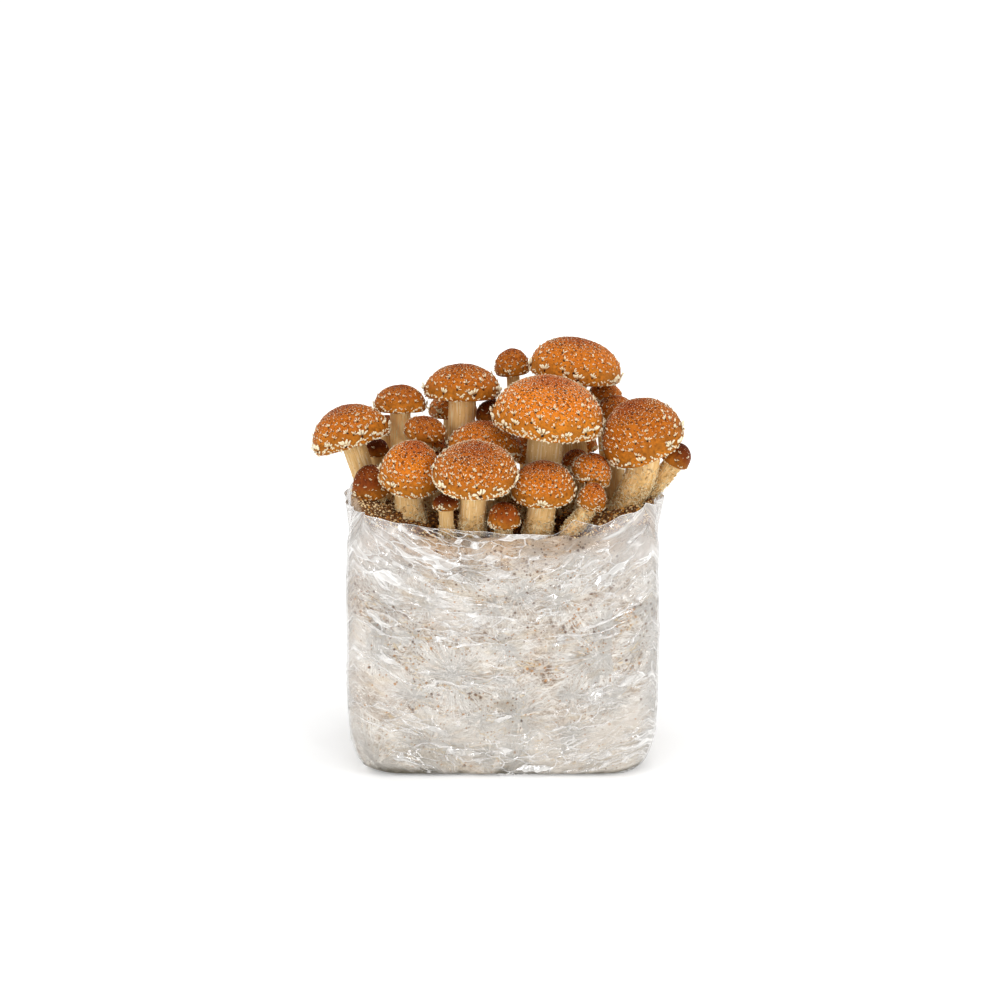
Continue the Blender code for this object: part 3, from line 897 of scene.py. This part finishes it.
def stem_finish(pale, tan, brown):
    """Smooth pale flesh with fine specks, and woolly scales of cream and brown towards the foot."""
    look = Finish("stem_flesh", Roughness=0.75, Specular_IOR_Level=0.15)
    place, grain, height = look.place(), look.attribute("grain", "Vector"), look.attribute("height")
    broad, specks = place.noise(60, 3, 0.55), place.noise(620, 3, 0.6)
    wool, scales = place.noise(380, 4, 0.7), place.noise(190, 3, 0.6, 0.6)
    streaks = grain.scaled(9.0, 9.0, 1.1).noise(1.0, 4, 0.6)
    low = (look.attribute("reach") + (broad - 0.5) * 0.9).rise(1.15, 0.45)
    tone = look.attribute("tone")
    look.paint(
        pale,
        (tan, (streaks * 0.7 + broad * 0.3).rise(0.48, 0.64) * 0.75),
        ((0.93, 0.76, 0.48, 1.0), streaks.rise(0.48, 0.36) * 0.7),
        (tan, specks.rise(0.56, 0.74) * 0.45),
        (tan, low * 0.5),
        (brown, (wool * 0.6 + scales * 0.4).rise(0.50, 0.60) * low * 0.65),
        ((0.93, 0.76, 0.46, 1.0), (wool * 0.5 + scales * 0.5).rise(0.48, 0.38) * low * 0.85),
        (brown, (height + (scales - 0.5) * 22).rise(5, -3) * 0.8),
        # Painted light and shade: the colour scaled by the stem's own factor
        (tone.beside(tone, tone), 1.0, "MULTIPLY"),
    )
    look.bump(streaks * 0.8 + specks * 0.3 + (wool + scales) * (low * 1.3 + 0.1), 0.0011, 0.9)
    return look.material


def fans(lines, scale, count):
    """Threads that run together at scattered points: 1 on a thread, fading to the middle between points."""
    scaled = lines.scaled(scale, scale, scale)
    offset = scaled.vector("SUBTRACT", scaled.cells(1.0, "Position"))
    tangent = lines.vector("CROSS_PRODUCT", (0.0, 0.0, 1.0)).vector("NORMALIZE")
    flat = offset.vector("DOT_PRODUCT", tangent).beside(offset.part("Z"))
    reach = flat.vector("LENGTH")
    around = flat.vector("NORMALIZE").scaled(count, count, 0.0)
    around = around.vector("ADD", scaled.cells(1.0, "Color").scaled(40.0, 40.0, 40.0))
    around = around.vector("ADD", (reach * 0.8).upright())
    chosen = scaled.cells(1.0, "Color").part("X").rise(0.25, 0.4)
    threads = around.noise(1.0, 4, 0.7).strand(0.065) + reach.rise(0.25, 0.0) * 0.4
    return threads * reach.rise(0.8, 0.15) * chosen


def strands(lines, tilt, along, across, width):
    """Long threads that rise by tilt to one side: 1 on a thread."""
    height = lines.vector("DOT_PRODUCT", (tilt, tilt, 1.0)) * across
    flat = lines.scaled(along, along, 0.0)
    return flat.vector("ADD", height.upright()).noise(1.0, 3, 0.6).strand(width)


def substrate_finish(white, grey, brown):
    """Sawdust bound by white threads that fan out from scattered points, with bare specked patches."""
    look = Finish("mycelium", Roughness=0.9, Specular_IOR_Level=0.15)
    place, swag = look.place(), look.attribute("swag", "Vector")
    drift = place.noise(60, 3, 0.55, output="Color").vector("SUBTRACT", (0.5, 0.5, 0.5))
    lines = swag.vector("ADD", drift.scaled(0.008, 0.008, 0.008))
    clouds = lines.scaled(26.0, 26.0, 44.0).noise(1.0, 4, 0.6, 0.3)
    clots, grain, height = place.noise(260, 4, 0.65), place.noise(800, 3, 0.7), place.part("Z")
    bare = (clouds + (height - 0.09) * 1.3).rise(0.47, 0.59)
    smooth = lines.scaled(15.0, 15.0, 26.0).noise(1.0, 3, 0.55, 0.4).rise(0.46, 0.58) * (1 - bare)
    cotton = (lines.scaled(90.0, 90.0, 200.0).noise(1.0, 4, 0.65) + clots * 0.4).rise(0.55, 0.85)
    cotton = cotton * (smooth * 0.35 + 0.4) + smooth * 0.35 + 0.1
    web = strands(lines, 0.0, 12.0, 240.0, 0.03) * 0.6 + strands(lines, 0.5, 14.0, 210.0, 0.025) * 0.6
    web = web + strands(lines, -0.5, 14.0, 200.0, 0.025) * 0.6 + strands(lines, 0.0, 120.0, 330.0, 0.03) * 0.4
    web = web + fans(lines, 20.0, 7.0) * 2.4 + fans(lines, 34.0, 5.5) * 1.9
    amber = lines.scaled(30.0, 30.0, 90.0).noise(1.0, 3, 0.6)
    granules = []
    for scale, crowd in ((420, 0.77), (240, 0.94)):
        bits = place.cells(scale, "Color")
        shade = bits.part("Y").rise(0.1, 0.9)
        granule = look.colour((0.14, 0.055, 0.018, 1.0)).blend((0.50, 0.23, 0.06, 1.0), shade)
        chosen = (bits.part("X") + bare * 0.55).rise(crowd, crowd + 0.04)
        granules.append((granule, (place.cells(scale) + (grain - 0.5) * 0.4).rise(0.33, 0.14) * chosen * 0.9))
    top = (look.attribute("reach") + (clots - 0.5) * 0.8).rise(0.4, 0.9)
    look.paint(
        white,
        (grey, (clots * 0.5 + grain * 0.5).rise(0.42, 0.55) * (0.95 - smooth * 0.6)),
        (brown, (grain * 0.5 + clots * 0.5).rise(0.51, 0.58) * (bare * 0.75 + 0.2)),
        ((0.74, 0.68, 0.615, 1.0), cotton * (1 - bare * 0.85)),
        ((0.94, 0.90, 0.84, 1.0), web.rise(0.12, 1.0) * (0.95 - bare * 0.2)),
        ((0.80, 0.60, 0.32, 1.0), amber.strand(0.012) * clouds.rise(0.44, 0.56) * 0.6),
        ((0.74, 0.60, 0.42, 1.0), amber.rise(0.54, 0.68) * 0.4),
        ((0.60, 0.37, 0.19, 1.0), (height + (clouds - 0.5) * 0.06).rise(0.136, 0.162) * 0.6),
        *granules,
        ((0.52, 0.46, 0.38, 1.0), (height + (clouds - 0.5) * 0.09).rise(0.06, 0.0) * 0.4),
        # Dark along the very bottom: dirt with a painted contact shadow
        ((0.10, 0.08, 0.04, 1.0), (height + (clouds - 0.5) * 0.03).rise(0.006, 0.0) * 0.9),
        ((0.30, 0.12, 0.03, 1.0), top * 0.9),
        ((0.08, 0.03, 0.01, 1.0), top * grain.rise(0.42, 0.58) * 0.85),
    )
    look.bump(web * 0.3 + clots * 0.4, 0.0012, 0.8)
    return look.material


def crumb_finish():
    look = Finish("crumbs", Roughness=0.9, Specular_IOR_Level=0.15)
    tint, place = look.attribute("tint"), look.place()
    stops = [
        (0.0, (0.025, 0.008, 0.002, 1)),
        (0.3, (0.12, 0.042, 0.010, 1)),
        (0.5, (0.36, 0.13, 0.024, 1)),
        (0.7, (0.80, 0.40, 0.09, 1)),
        (0.92, (0.95, 0.74, 0.42, 1)),
    ]
    tone = tint + 0.36 + (place.noise(700, 3, 0.6) - 0.5) * 0.3 + (place.noise(60, 2) - 0.5) * 1.0
    across = place.part("X")
    tone = tone + across.math("ABSOLUTE", across).rise(0.03, 0.08) * 0.34 + across.rise(0.05, 0.08) * 0.1
    look.link("Base Color", place.add("ShaderNodeValToRGB", {"stops": stops}, {"Fac": tone}))
    return look.material


def film_finish(colour):
    """Clear glossy film of small flat faces. The folds and milky parts are white. Some of the faces and their
    seams are painted white as highlights, and the rim carries a painted highlight line.
    """
    look = Finish("clear_film", Base_Color=colour, Roughness=0.08, IOR=2.2)
    swag, milk = look.attribute("swag", "Vector"), look.attribute("milk")
    drift = swag.noise(70, 2, 0.5, output="Color").vector("SUBTRACT", (0.5, 0.5, 0.5))
    faces = swag.vector("ADD", drift.scaled(0.012, 0.012, 0.008))
    faces = faces.scaled(60.0, 60.0, 210.0)
    chosen = faces.cells(1.0, "Color")
    tilt = faces.vector("SUBTRACT", faces.cells(1.0, "Position"))
    tilt = tilt.vector("DOT_PRODUCT", chosen.vector("SUBTRACT", (0.5, 0.5, 0.5)))
    folds = faces.scaled(0.16, 0.16, 0.32).noise(1.0, 2, 0.5).strand(0.018)
    # Painted highlight lines along the seams between the faces
    painted_seam_lines = faces.cells(1.0, "Distance", "DISTANCE_TO_EDGE").rise(0.06, 0.01)
    crowd = swag.scaled(18.0, 18.0, 50.0).noise(1.0, 3, 0.6).rise(0.49, 0.57)
    shards = faces.scaled(2.3, 2.3, 1.9).cells(1.0, "Color")
    # Painted highlights: some faces, in clusters, painted white
    painted_gleam = chosen.part("X").rise(0.55, 0.95) * crowd * (shards.part("Y") * 0.95 + 0.1)
    haze = swag.scaled(20.0, 20.0, 70.0).noise(1.0, 4, 0.6, 0.6)
    alpha = painted_gleam * (haze * 1.4) + painted_seam_lines * crowd * 0.45 + milk * haze * 0.7 + haze.rise(0.5, 0.75) * 0.1
    alpha = alpha + folds * haze.rise(0.4, 0.6) * 0.5
    # Painted highlight line along the film's rim, from the last ring's attribute
    look.link("Alpha", alpha + look.attribute("ridge") * 0.28 + look.attribute("edge") * 0.6 + 0.02)
    look.bump(tilt, 0.006, 0.8)
    look.material.surface_render_method = "DITHERED"
    return look.material


# Settings


def colour_setting(name, description, default):
    return FloatVectorProperty(name=name, description=description, subtype="COLOR", size=4, default=default)


def length_setting(name, description, default):
    return FloatProperty(name=name, description=description, unit="LENGTH", default=default)


class BagSettings(bpy.types.PropertyGroup):
    """The film bag."""

    creases: IntProperty(name="Creases", description="How many folds the film has", default=340, min=0)
    depth: FloatProperty(name="Crease depth", description="Scale of the folds' depth", default=1.0, min=0)
    step: length_setting("Mesh step", "Distance between points of the film", 0.0016)
    thickness: length_setting("Film thickness", "Thickness of the film's wall", 0.0002)
    colour: colour_setting("Film colour", "Tint of the film", (0.93, 0.91, 0.88, 1))


class SubstrateSettings(bpy.types.PropertyGroup):
    """The block and its crumbs."""

    white: colour_setting("Mycelium", "Colour of the threads", (0.64, 0.57, 0.50, 1))
    grey: colour_setting("Sawdust", "Colour of the bare grain", (0.28, 0.185, 0.11, 1))
    brown: colour_setting("Dark sawdust", "Colour of dark grain", (0.15, 0.075, 0.032, 1))
    crumb: length_setting("Crumb size", "Usual length of a crumb", 0.0022)


class MushroomSettings(bpy.types.PropertyGroup):
    """Caps, stems and tufts."""

    crown: colour_setting("Crown", "Colour of a cap's middle", (0.50, 0.105, 0.010, 1))
    middle: colour_setting("Shoulder", "Colour half way down", (0.74, 0.20, 0.014, 1))
    # Golden brown by the rim, made darker as painted shade
    rim: colour_setting("Rim", "Colour by the rim", (0.46, 0.16, 0.014, 1))
    flesh: colour_setting("Stem", "Colour of a stem's top", (0.78, 0.50, 0.21, 1))
    tuft: colour_setting("Tufts", "Colour of the tufts' tips", (0.98, 0.88, 0.64, 1))
    fleck_spacing: length_setting("Fleck spacing", "Distance between flecks at the crown", 0.0023)
    tuft_size: length_setting("Tuft size", "Width of the big tufts by the rim", 0.0052)


class StudioSettings(bpy.types.PropertyGroup):
    """Camera and light."""

    lens: FloatProperty(name="Lens", description="Focal length on the sensor", default=107.39, unit="CAMERA")
    key: FloatProperty(name="Softboxes", description="Power of the left box", default=7.0, subtype="POWER")
    world: FloatProperty(name="Surroundings", description="Brightness of the white room", default=0.35)
    floor: colour_setting("Floor colour", "Colour of the floor", (0.93, 0.93, 0.93, 1))


# Operators


class GROWKIT_OT_substrate(bpy.types.Operator):
    """Makes the substrate block with its threads and lumps"""

    bl_idname = "growkit.substrate"
    bl_label = "Substrate block"

    def execute(self, context):
        choice = context.scene.growkit_substrate
        places = np.arange(0, AROUND, AROUND / 300)
        inset, lowest = 0.9, 0.9
        rings, pull = floor_rings(places, inset + 0.8, lowest, (0.15, 0.4, 0.65, 0.85, 0.95))
        for height in np.arange(0.0, WALL_TOP + 0.1, 2.2):
            ring, out = outline(inward(wall_section(height), inset), places)
            lumps = [0.45 * noise.noise(Vector((x, y, height)) / 9) - 0.3 for x, y in ring]
            ring = ring + out * (fold_push(places, height) + lumps)[:, None]
            rings.append(np.c_[ring, np.full(len(ring), max(height, lowest))])
            pull.append(swag(places, np.full(len(ring), height)))
        reach = [0.0] * len(rings)
        section = inward(wall_section(WALL_TOP), inset)
        lean = np.maximum(along_rim(RIM_INSETS, places), 0) / (along_rim(RIM, places) - WALL_TOP)
        for inset in (0.8, 1.8, 3.2, 5, 7, 10, 13, 17, 22, 27, 32, 37, 42, 47, 52):
            ring, _ = outline(inward(section, inset), places)
            heights = np.array([self.top(x, y, inset) for x, y in ring])
            bend = lean * (heights - WALL_TOP) * max(0.0, 1 - inset / 30)
            ring, _ = outline(inward(section, inset + np.maximum(bend, 0)), places)
            rings.append(np.c_[ring, heights])
            pull.append(swag(places, heights + inset))
            reach.append(min(inset / 3.0, 1.0))
        middle = (0, 0, self.top(0, 0, 60))
        ends = [(0, 0, lowest * MM), Vector(middle) * MM]
        pull = np.concatenate([*pull, [(0, 0, 0), middle]]) * MM
        reach = np.append(np.repeat(reach, len(places)), [0.0, 1.0])
        mesh = ring_mesh("substrate", np.array(rings) * MM, *ends, swag=pull, reach=reach)
        material = substrate_finish(choice.white, choice.grey, choice.brown)
        keep(new_object("mycelium_block", mesh, material), "substrate", "substrate_block")
        return {"FINISHED"}

    @staticmethod
    def top(x, y, inset):
        """The height of the block's top, banked up against the film and heaped at its left and right ends."""
        lump = 2.0 * noise.noise(Vector((x, y, 0)) / 15) + 1.0 * noise.noise(Vector((x, y, 50)) / 5)
        bank = (7.0 + 8.0 * min(max((abs(x) - 50) / 40, 0.0), 1.0)) * math.exp(-inset / 7)
        reach = min(max(0.0, (abs(x) - 38) / 45), 1.0) ** 0.8
        heap = (19.0 if x < 0 else 16.0) * reach * math.exp(-((y + 18) / 42) ** 2)
        high = max(bank, heap + 0.3 * bank) * (1 + 0.25 * noise.noise(Vector((x, y, 20)) / 7))
        return 158.6 + lump + high - 3.0 * math.exp(-inset / 1.2)


class GROWKIT_OT_crumbs(bpy.types.Operator):
    """Scatters crumbs of sawdust over the block's top"""

    bl_idname = "growkit.crumbs"
    bl_label = "Crumbs"

    def execute(self, context):
        size = context.scene.growkit_substrate.crumb
        stock = shelf("crumb shapes", [crumb_shape(f"crumb_{n}", n) for n in range(5)])
        bands = [
            (stock, 0.6, 2.0, apart * MM, size * share, 0.0, ANY_WAY)
            for apart, share in ((2.1, 0.85), (1.6, 0.55), (5.0, 1.5))
        ]
        material = crumb_finish()
        mesh = scatter(bpy.data.objects["mycelium_block"], tuft_tree(), material, bands, 1)
        clear_shelf(stock)
        keep(new_object("sawdust_crumbs", mesh, material), "substrate")
        return {"FINISHED"}


class GROWKIT_OT_bag(bpy.types.Operator):
    """Makes the creased film bag"""

    bl_idname = "growkit.bag"
    bl_label = "Film bag"

    def execute(self, context):
        choice = context.scene.growkit_bag
        step, free, lowest = choice.step / MM, RIM_LEVEL - WALL_TOP, 0.25
        places = np.arange(0, AROUND, AROUND / round(AROUND / step))
        above = np.linspace(WALL_TOP, RIM_LEVEL - 0.5, round(free / step) + 1)
        levels = np.concatenate([np.arange(0.0, WALL_TOP, step), above, [RIM_LEVEL]])
        field, ridge = self.folds(choice, places, levels)
        rim, flare = along_rim(RIM, places), along_rim(RIM_INSETS, places)
        rings, pull = floor_rings(places, 1.5, lowest, (0.12, 0.3, 0.5, 0.68, 0.84, 0.95))
        zeros = np.zeros(len(places))
        ridges, painted_rim_highlights, milk = ([zeros] * len(rings) for _ in range(3))
        for row, level in enumerate(levels):
            held, lift = min(level, WALL_TOP), max(level - WALL_TOP, 0.0) / free
            ring, out = outline(inward(wall_section(held), (flare - 0.8) * lift), places)
            loose = 1.2 * lift * np.sin(places / AROUND * math.tau * 23 + 2 * np.sin(places / 40))
            ring = ring + out * (fold_push(places, held) + field[row] + loose)[:, None]
            height = zeros + level if level <= WALL_TOP else WALL_TOP + (rim - WALL_TOP) * lift
            rings.append(np.c_[ring, np.maximum(height, lowest)])
            pull.append(swag(places, height))
            ridges.append(ridge[row])
            # The last ring carries the painted highlight line of the rim
            painted_rim_highlights.append(zeros + (row == len(levels) - 1))
            wide = np.abs(ring[:, 0])
            shoulder = np.clip((wide - 50) / 40, 0, 1) * np.clip((height - 115) / 40, 0, 1)
            milk.append(np.maximum(shoulder, 0.6 * np.clip((wide - 88) / 12, 0, 1)))
        numbers = {"ridge": ridges, "edge": painted_rim_highlights, "milk": milk}
        numbers = {label: np.append(np.concatenate(rows), 0.0) for label, rows in numbers.items()}
        pull = np.concatenate([*pull, [(0, 0, 0)]]) * MM
        mesh = ring_mesh("film", np.array(rings) * MM, (0, 0, lowest * MM), **numbers, swag=pull)
        bag = new_object("film_bag", mesh, film_finish(choice.colour))
        wall = bag.modifiers.new("film", "SOLIDIFY")
        wall.thickness = choice.thickness
        wall.offset = -1
        keep(bag, "bag_film", "bag")
        return {"FINISHED"}

    @staticmethod
    def folds(choice, places, levels):
        """(how far the creases stand out, how sharp they are), calmer by the base and above the block."""
        field = choice.depth * crease_field(places, levels, choice.creases, seed=11)
        low = np.clip(levels / 10.0, 0.15, 1.0)[:, None]
        calm = 1 - 0.75 * np.clip((levels - 150) / 12.0, 0, 1)[:, None]
        field = np.clip(0.3 + field * low * calm, 0.0, 3.0)
        bend = np.zeros_like(field)
        bend[1:-1] = 2 * field[1:-1] - field[:-2] - field[2:]
        bend += 2 * field - np.roll(field, 1, 1) - np.roll(field, -1, 1)
        return field, np.clip(np.abs(bend) * 0.9 - 0.12, 0, 1)


class GROWKIT_OT_stems(bpy.types.Operator):
    """Makes the stems with their wool"""

    bl_idname = "growkit.stems"
    bl_label = "Stems"

    def execute(self, context):
        flesh = context.scene.growkit_mushrooms.flesh
        material = stem_finish(flesh, (0.66, 0.39, 0.13, 1), (0.28, 0.135, 0.035, 1))
        wool = tuft_finish("stem_wool", (0.97, 0.82, 0.52, 1), (0.56, 0.30, 0.09, 1), 1.0)
        stock, tree = tuft_shelf("wool"), tuft_tree()
        for mushroom in MUSHROOMS:
            stem = new_object(f"stem_flesh_{mushroom.name}", stem_mesh(mushroom), material)
            keep(stem, "stem", f"stem_{mushroom.name}")
            at_back = mushroom.cap[1] > 20
            sparse = 1.5 if at_back else 1.0
            bands = [
                (stock, -0.05, end, apart * sparse * MM, wide * MM, 0.0, ANY_WAY)
                for end, apart, wide in ((0.7, 2.1, 3.1), (1.0, 2.7, 2.6), (5.0, 4.4, 1.4))
            ]
            mesh = scatter(stem, tree, wool, bands, 100 * int(mushroom.name) + 1)
            keep(new_object(f"wool_{mushroom.name}", mesh, wool), "stem")
        clear_shelf(stock)
        return {"FINISHED"}


class GROWKIT_OT_caps(bpy.types.Operator):
    """Makes the caps with their gills"""

    bl_idname = "growkit.caps"
    bl_label = "Caps and gills"

    def execute(self, context):
        choice = context.scene.growkit_mushrooms
        grown = cap_finish("cap_skin", choice.crown, choice.middle, choice.rim)
        young = cap_finish("young_cap_skin", (0.24, 0.042, 0.004, 1), (0.52, 0.11, 0.008, 1), choice.rim)
        gills, tree = gill_finish(), gill_tree()
        for mushroom in MUSHROOMS:
            place, is_young = cap_place(mushroom), mushroom.name in YOUNG
            mesh = cap_mesh(mushroom)
            mesh.transform(place)
            cap = new_object(f"cap_skin_{mushroom.name}", mesh, young if is_young else grown)
            keep(cap, "young_cap" if is_young else "cap", f"cap_{mushroom.name}")
            blade = new_object("blade", gill_mesh(mushroom))
            count = round(30 + mushroom.width * 1.2)
            mesh = run_tree(blade, tree, material=gills, count=count, seed=int(mushroom.name))
            bpy.data.objects.remove(blade)
            mesh.transform(place)
            keep(new_object(f"gills_{mushroom.name}", mesh), "stem")
        return {"FINISHED"}


class GROWKIT_OT_tufts(bpy.types.Operator):
    """Scatters flecks, tufts and the fringe of veil over the caps"""

    bl_idname = "growkit.tufts"
    bl_label = "Tufts"

    def execute(self, context):
        choice = context.scene.growkit_mushrooms
        # The near-black foot colour paints the scales under the tufts: their brown base and a painted shadow
        # beside each tuft
        material = tuft_finish("tuft_wool", choice.tuft, (0.045, 0.010, 0.003, 1))
        shelves = [tuft_shelf(kind) for kind in ("fleck", "tuft", "shell", "veil")]
        flecks, tufts, shells, veil = shelves
        tree = tuft_tree()
        spacing, size = choice.fleck_spacing, choice.tuft_size
        for mushroom in MUSHROOMS:
            source = new_object("source", cap_mesh(mushroom))
            less = min(1.05, 0.5 + mushroom.width / 110)
            crowd = 1 / math.sqrt(mushroom.flecks)
            fringe = size * 0.5 * less / mushroom.fringe**0.5
            bands = [
                (flecks, 0.0, 0.45, spacing * 0.68 * crowd, size * 0.17 * less, 0.0, ANY_WAY),
                (flecks, 0.25, 0.82, spacing * 1.1 * crowd, size * 0.25 * less, 0.0, ANY_WAY),
                (tufts, 0.5, 0.9, spacing * 2.1 * crowd * less, size * 0.55 * less, math.pi, 0.9),
                (shells, 0.885, 0.975, size * 1.45 * less, size * 1.25 * less, math.pi, 0.3),
                (veil, 0.98, 1.09, fringe, size * 0.6 * less, 0.0, 1.0),
            ]
            mesh = scatter(source, tree, material, bands, 100 * int(mushroom.name))
            bpy.data.objects.remove(source)
            mesh.transform(cap_place(mushroom))
            keep(new_object(f"tufts_{mushroom.name}", mesh, material), "stem")
        for stock in shelves:
            clear_shelf(stock)
        return {"FINISHED"}


class GROWKIT_OT_studio(bpy.types.Operator):
    """Makes the pale floor, which glows as painted light, the soft light and the camera"""

    bl_idname = "growkit.studio"
    bl_label = "Studio"

    def execute(self, context):
        scene, choice = context.scene, context.scene.growkit_studio
        corners = [(-FLOOR_REACH, -FLOOR_REACH), (FLOOR_REACH, -FLOOR_REACH)]
        corners += [(FLOOR_REACH, FLOOR_REACH), (-FLOOR_REACH, FLOOR_REACH)]
        mesh = face_mesh("floor", [(x, y, FLOOR_LEVEL) for x, y in corners], [(0, 1, 2, 3)])
        inputs = {"Base_Color": choice.floor, "Roughness": 0.9, "Specular_IOR_Level": 0.1}
        # Painted light: the floor glows, dimly by the kit and brighter further off, so that it reads white
        # and lights the kit from below
        ground = Finish("floor", **inputs, Emission_Strength=0.75)
        far = ground.place().vector("LENGTH").rise(0.25, 1.6)
        ground.link("Emission Color", ground.colour((0.32, 0.32, 0.32, 1)).blend((1, 1, 1, 1), far))
        new_object("floor", mesh, ground.material)
        scene.world = bpy.data.worlds.new("studio")
        scene.world.use_nodes = True
        room = scene.world.node_tree.nodes["Background"].inputs
        room["Color"].default_value = (1, 1, 1, 1)
        room["Strength"].default_value = choice.world
        for name, place, size, share in SOFTBOXES:
            light = bpy.data.lights.new(name, "AREA")
            light.shape = "RECTANGLE"
            light.size, light.size_y = size
            light.energy = choice.key * share
            box = bpy.data.objects.new(name, light)
            box.location = place
            box.rotation_euler = (AIM - Vector(place)).to_track_quat("-Z", "Y").to_euler()
            scene.collection.objects.link(box)
        lens = bpy.data.cameras.new("camera")
        lens.lens, lens.sensor_width = choice.lens, SENSOR
        camera = bpy.data.objects.new("camera", lens)
        camera.location = CAMERA_PLACE
        camera.rotation_euler = (CAMERA_TILT, 0, 0)
        scene.collection.objects.link(camera)
        scene.camera = camera
        scene.view_settings.view_transform = "Standard"
        return {"FINISHED"}


STEPS = (
    GROWKIT_OT_studio,
    GROWKIT_OT_substrate,
    GROWKIT_OT_crumbs,
    GROWKIT_OT_stems,
    GROWKIT_OT_caps,
    GROWKIT_OT_tufts,
    GROWKIT_OT_bag,
)
SETTINGS = {
    "growkit_bag": BagSettings,
    "growkit_substrate": SubstrateSettings,
    "growkit_mushrooms": MushroomSettings,
    "growkit_studio": StudioSettings,
}


class GROWKIT_PT_panel(bpy.types.Panel):
    bl_idname = "GROWKIT_PT_panel"
    bl_label = "Grow kit"
    bl_space_type = "VIEW_3D"
    bl_region_type = "UI"
    bl_category = "Grow kit"

    def draw(self, context):
        for name, group in SETTINGS.items():
            box = self.layout.box()
            for label in group.__annotations__:
                box.prop(getattr(context.scene, name), label)
        for step in STEPS:
            self.layout.operator(step.bl_idname)


def register():
    for group in SETTINGS.values():
        bpy.utils.register_class(group)
    for step in STEPS:
        bpy.utils.register_class(step)
    bpy.utils.register_class(GROWKIT_PT_panel)
    for name, group in SETTINGS.items():
        setattr(bpy.types.Scene, name, PointerProperty(type=group))


def unregister():
    for name in SETTINGS:
        delattr(bpy.types.Scene, name)
    bpy.utils.unregister_class(GROWKIT_PT_panel)
    for step in reversed(STEPS):
        bpy.utils.unregister_class(step)
    for group in reversed(SETTINGS.values()):
        bpy.utils.unregister_class(group)


def main():
    register()
    bpy.ops.growkit.studio()
    bpy.ops.growkit.substrate()
    bpy.ops.growkit.crumbs()
    bpy.ops.growkit.stems()
    bpy.ops.growkit.caps()
    bpy.ops.growkit.tufts()
    bpy.ops.growkit.bag()


if __name__ == "__main__":
    main()
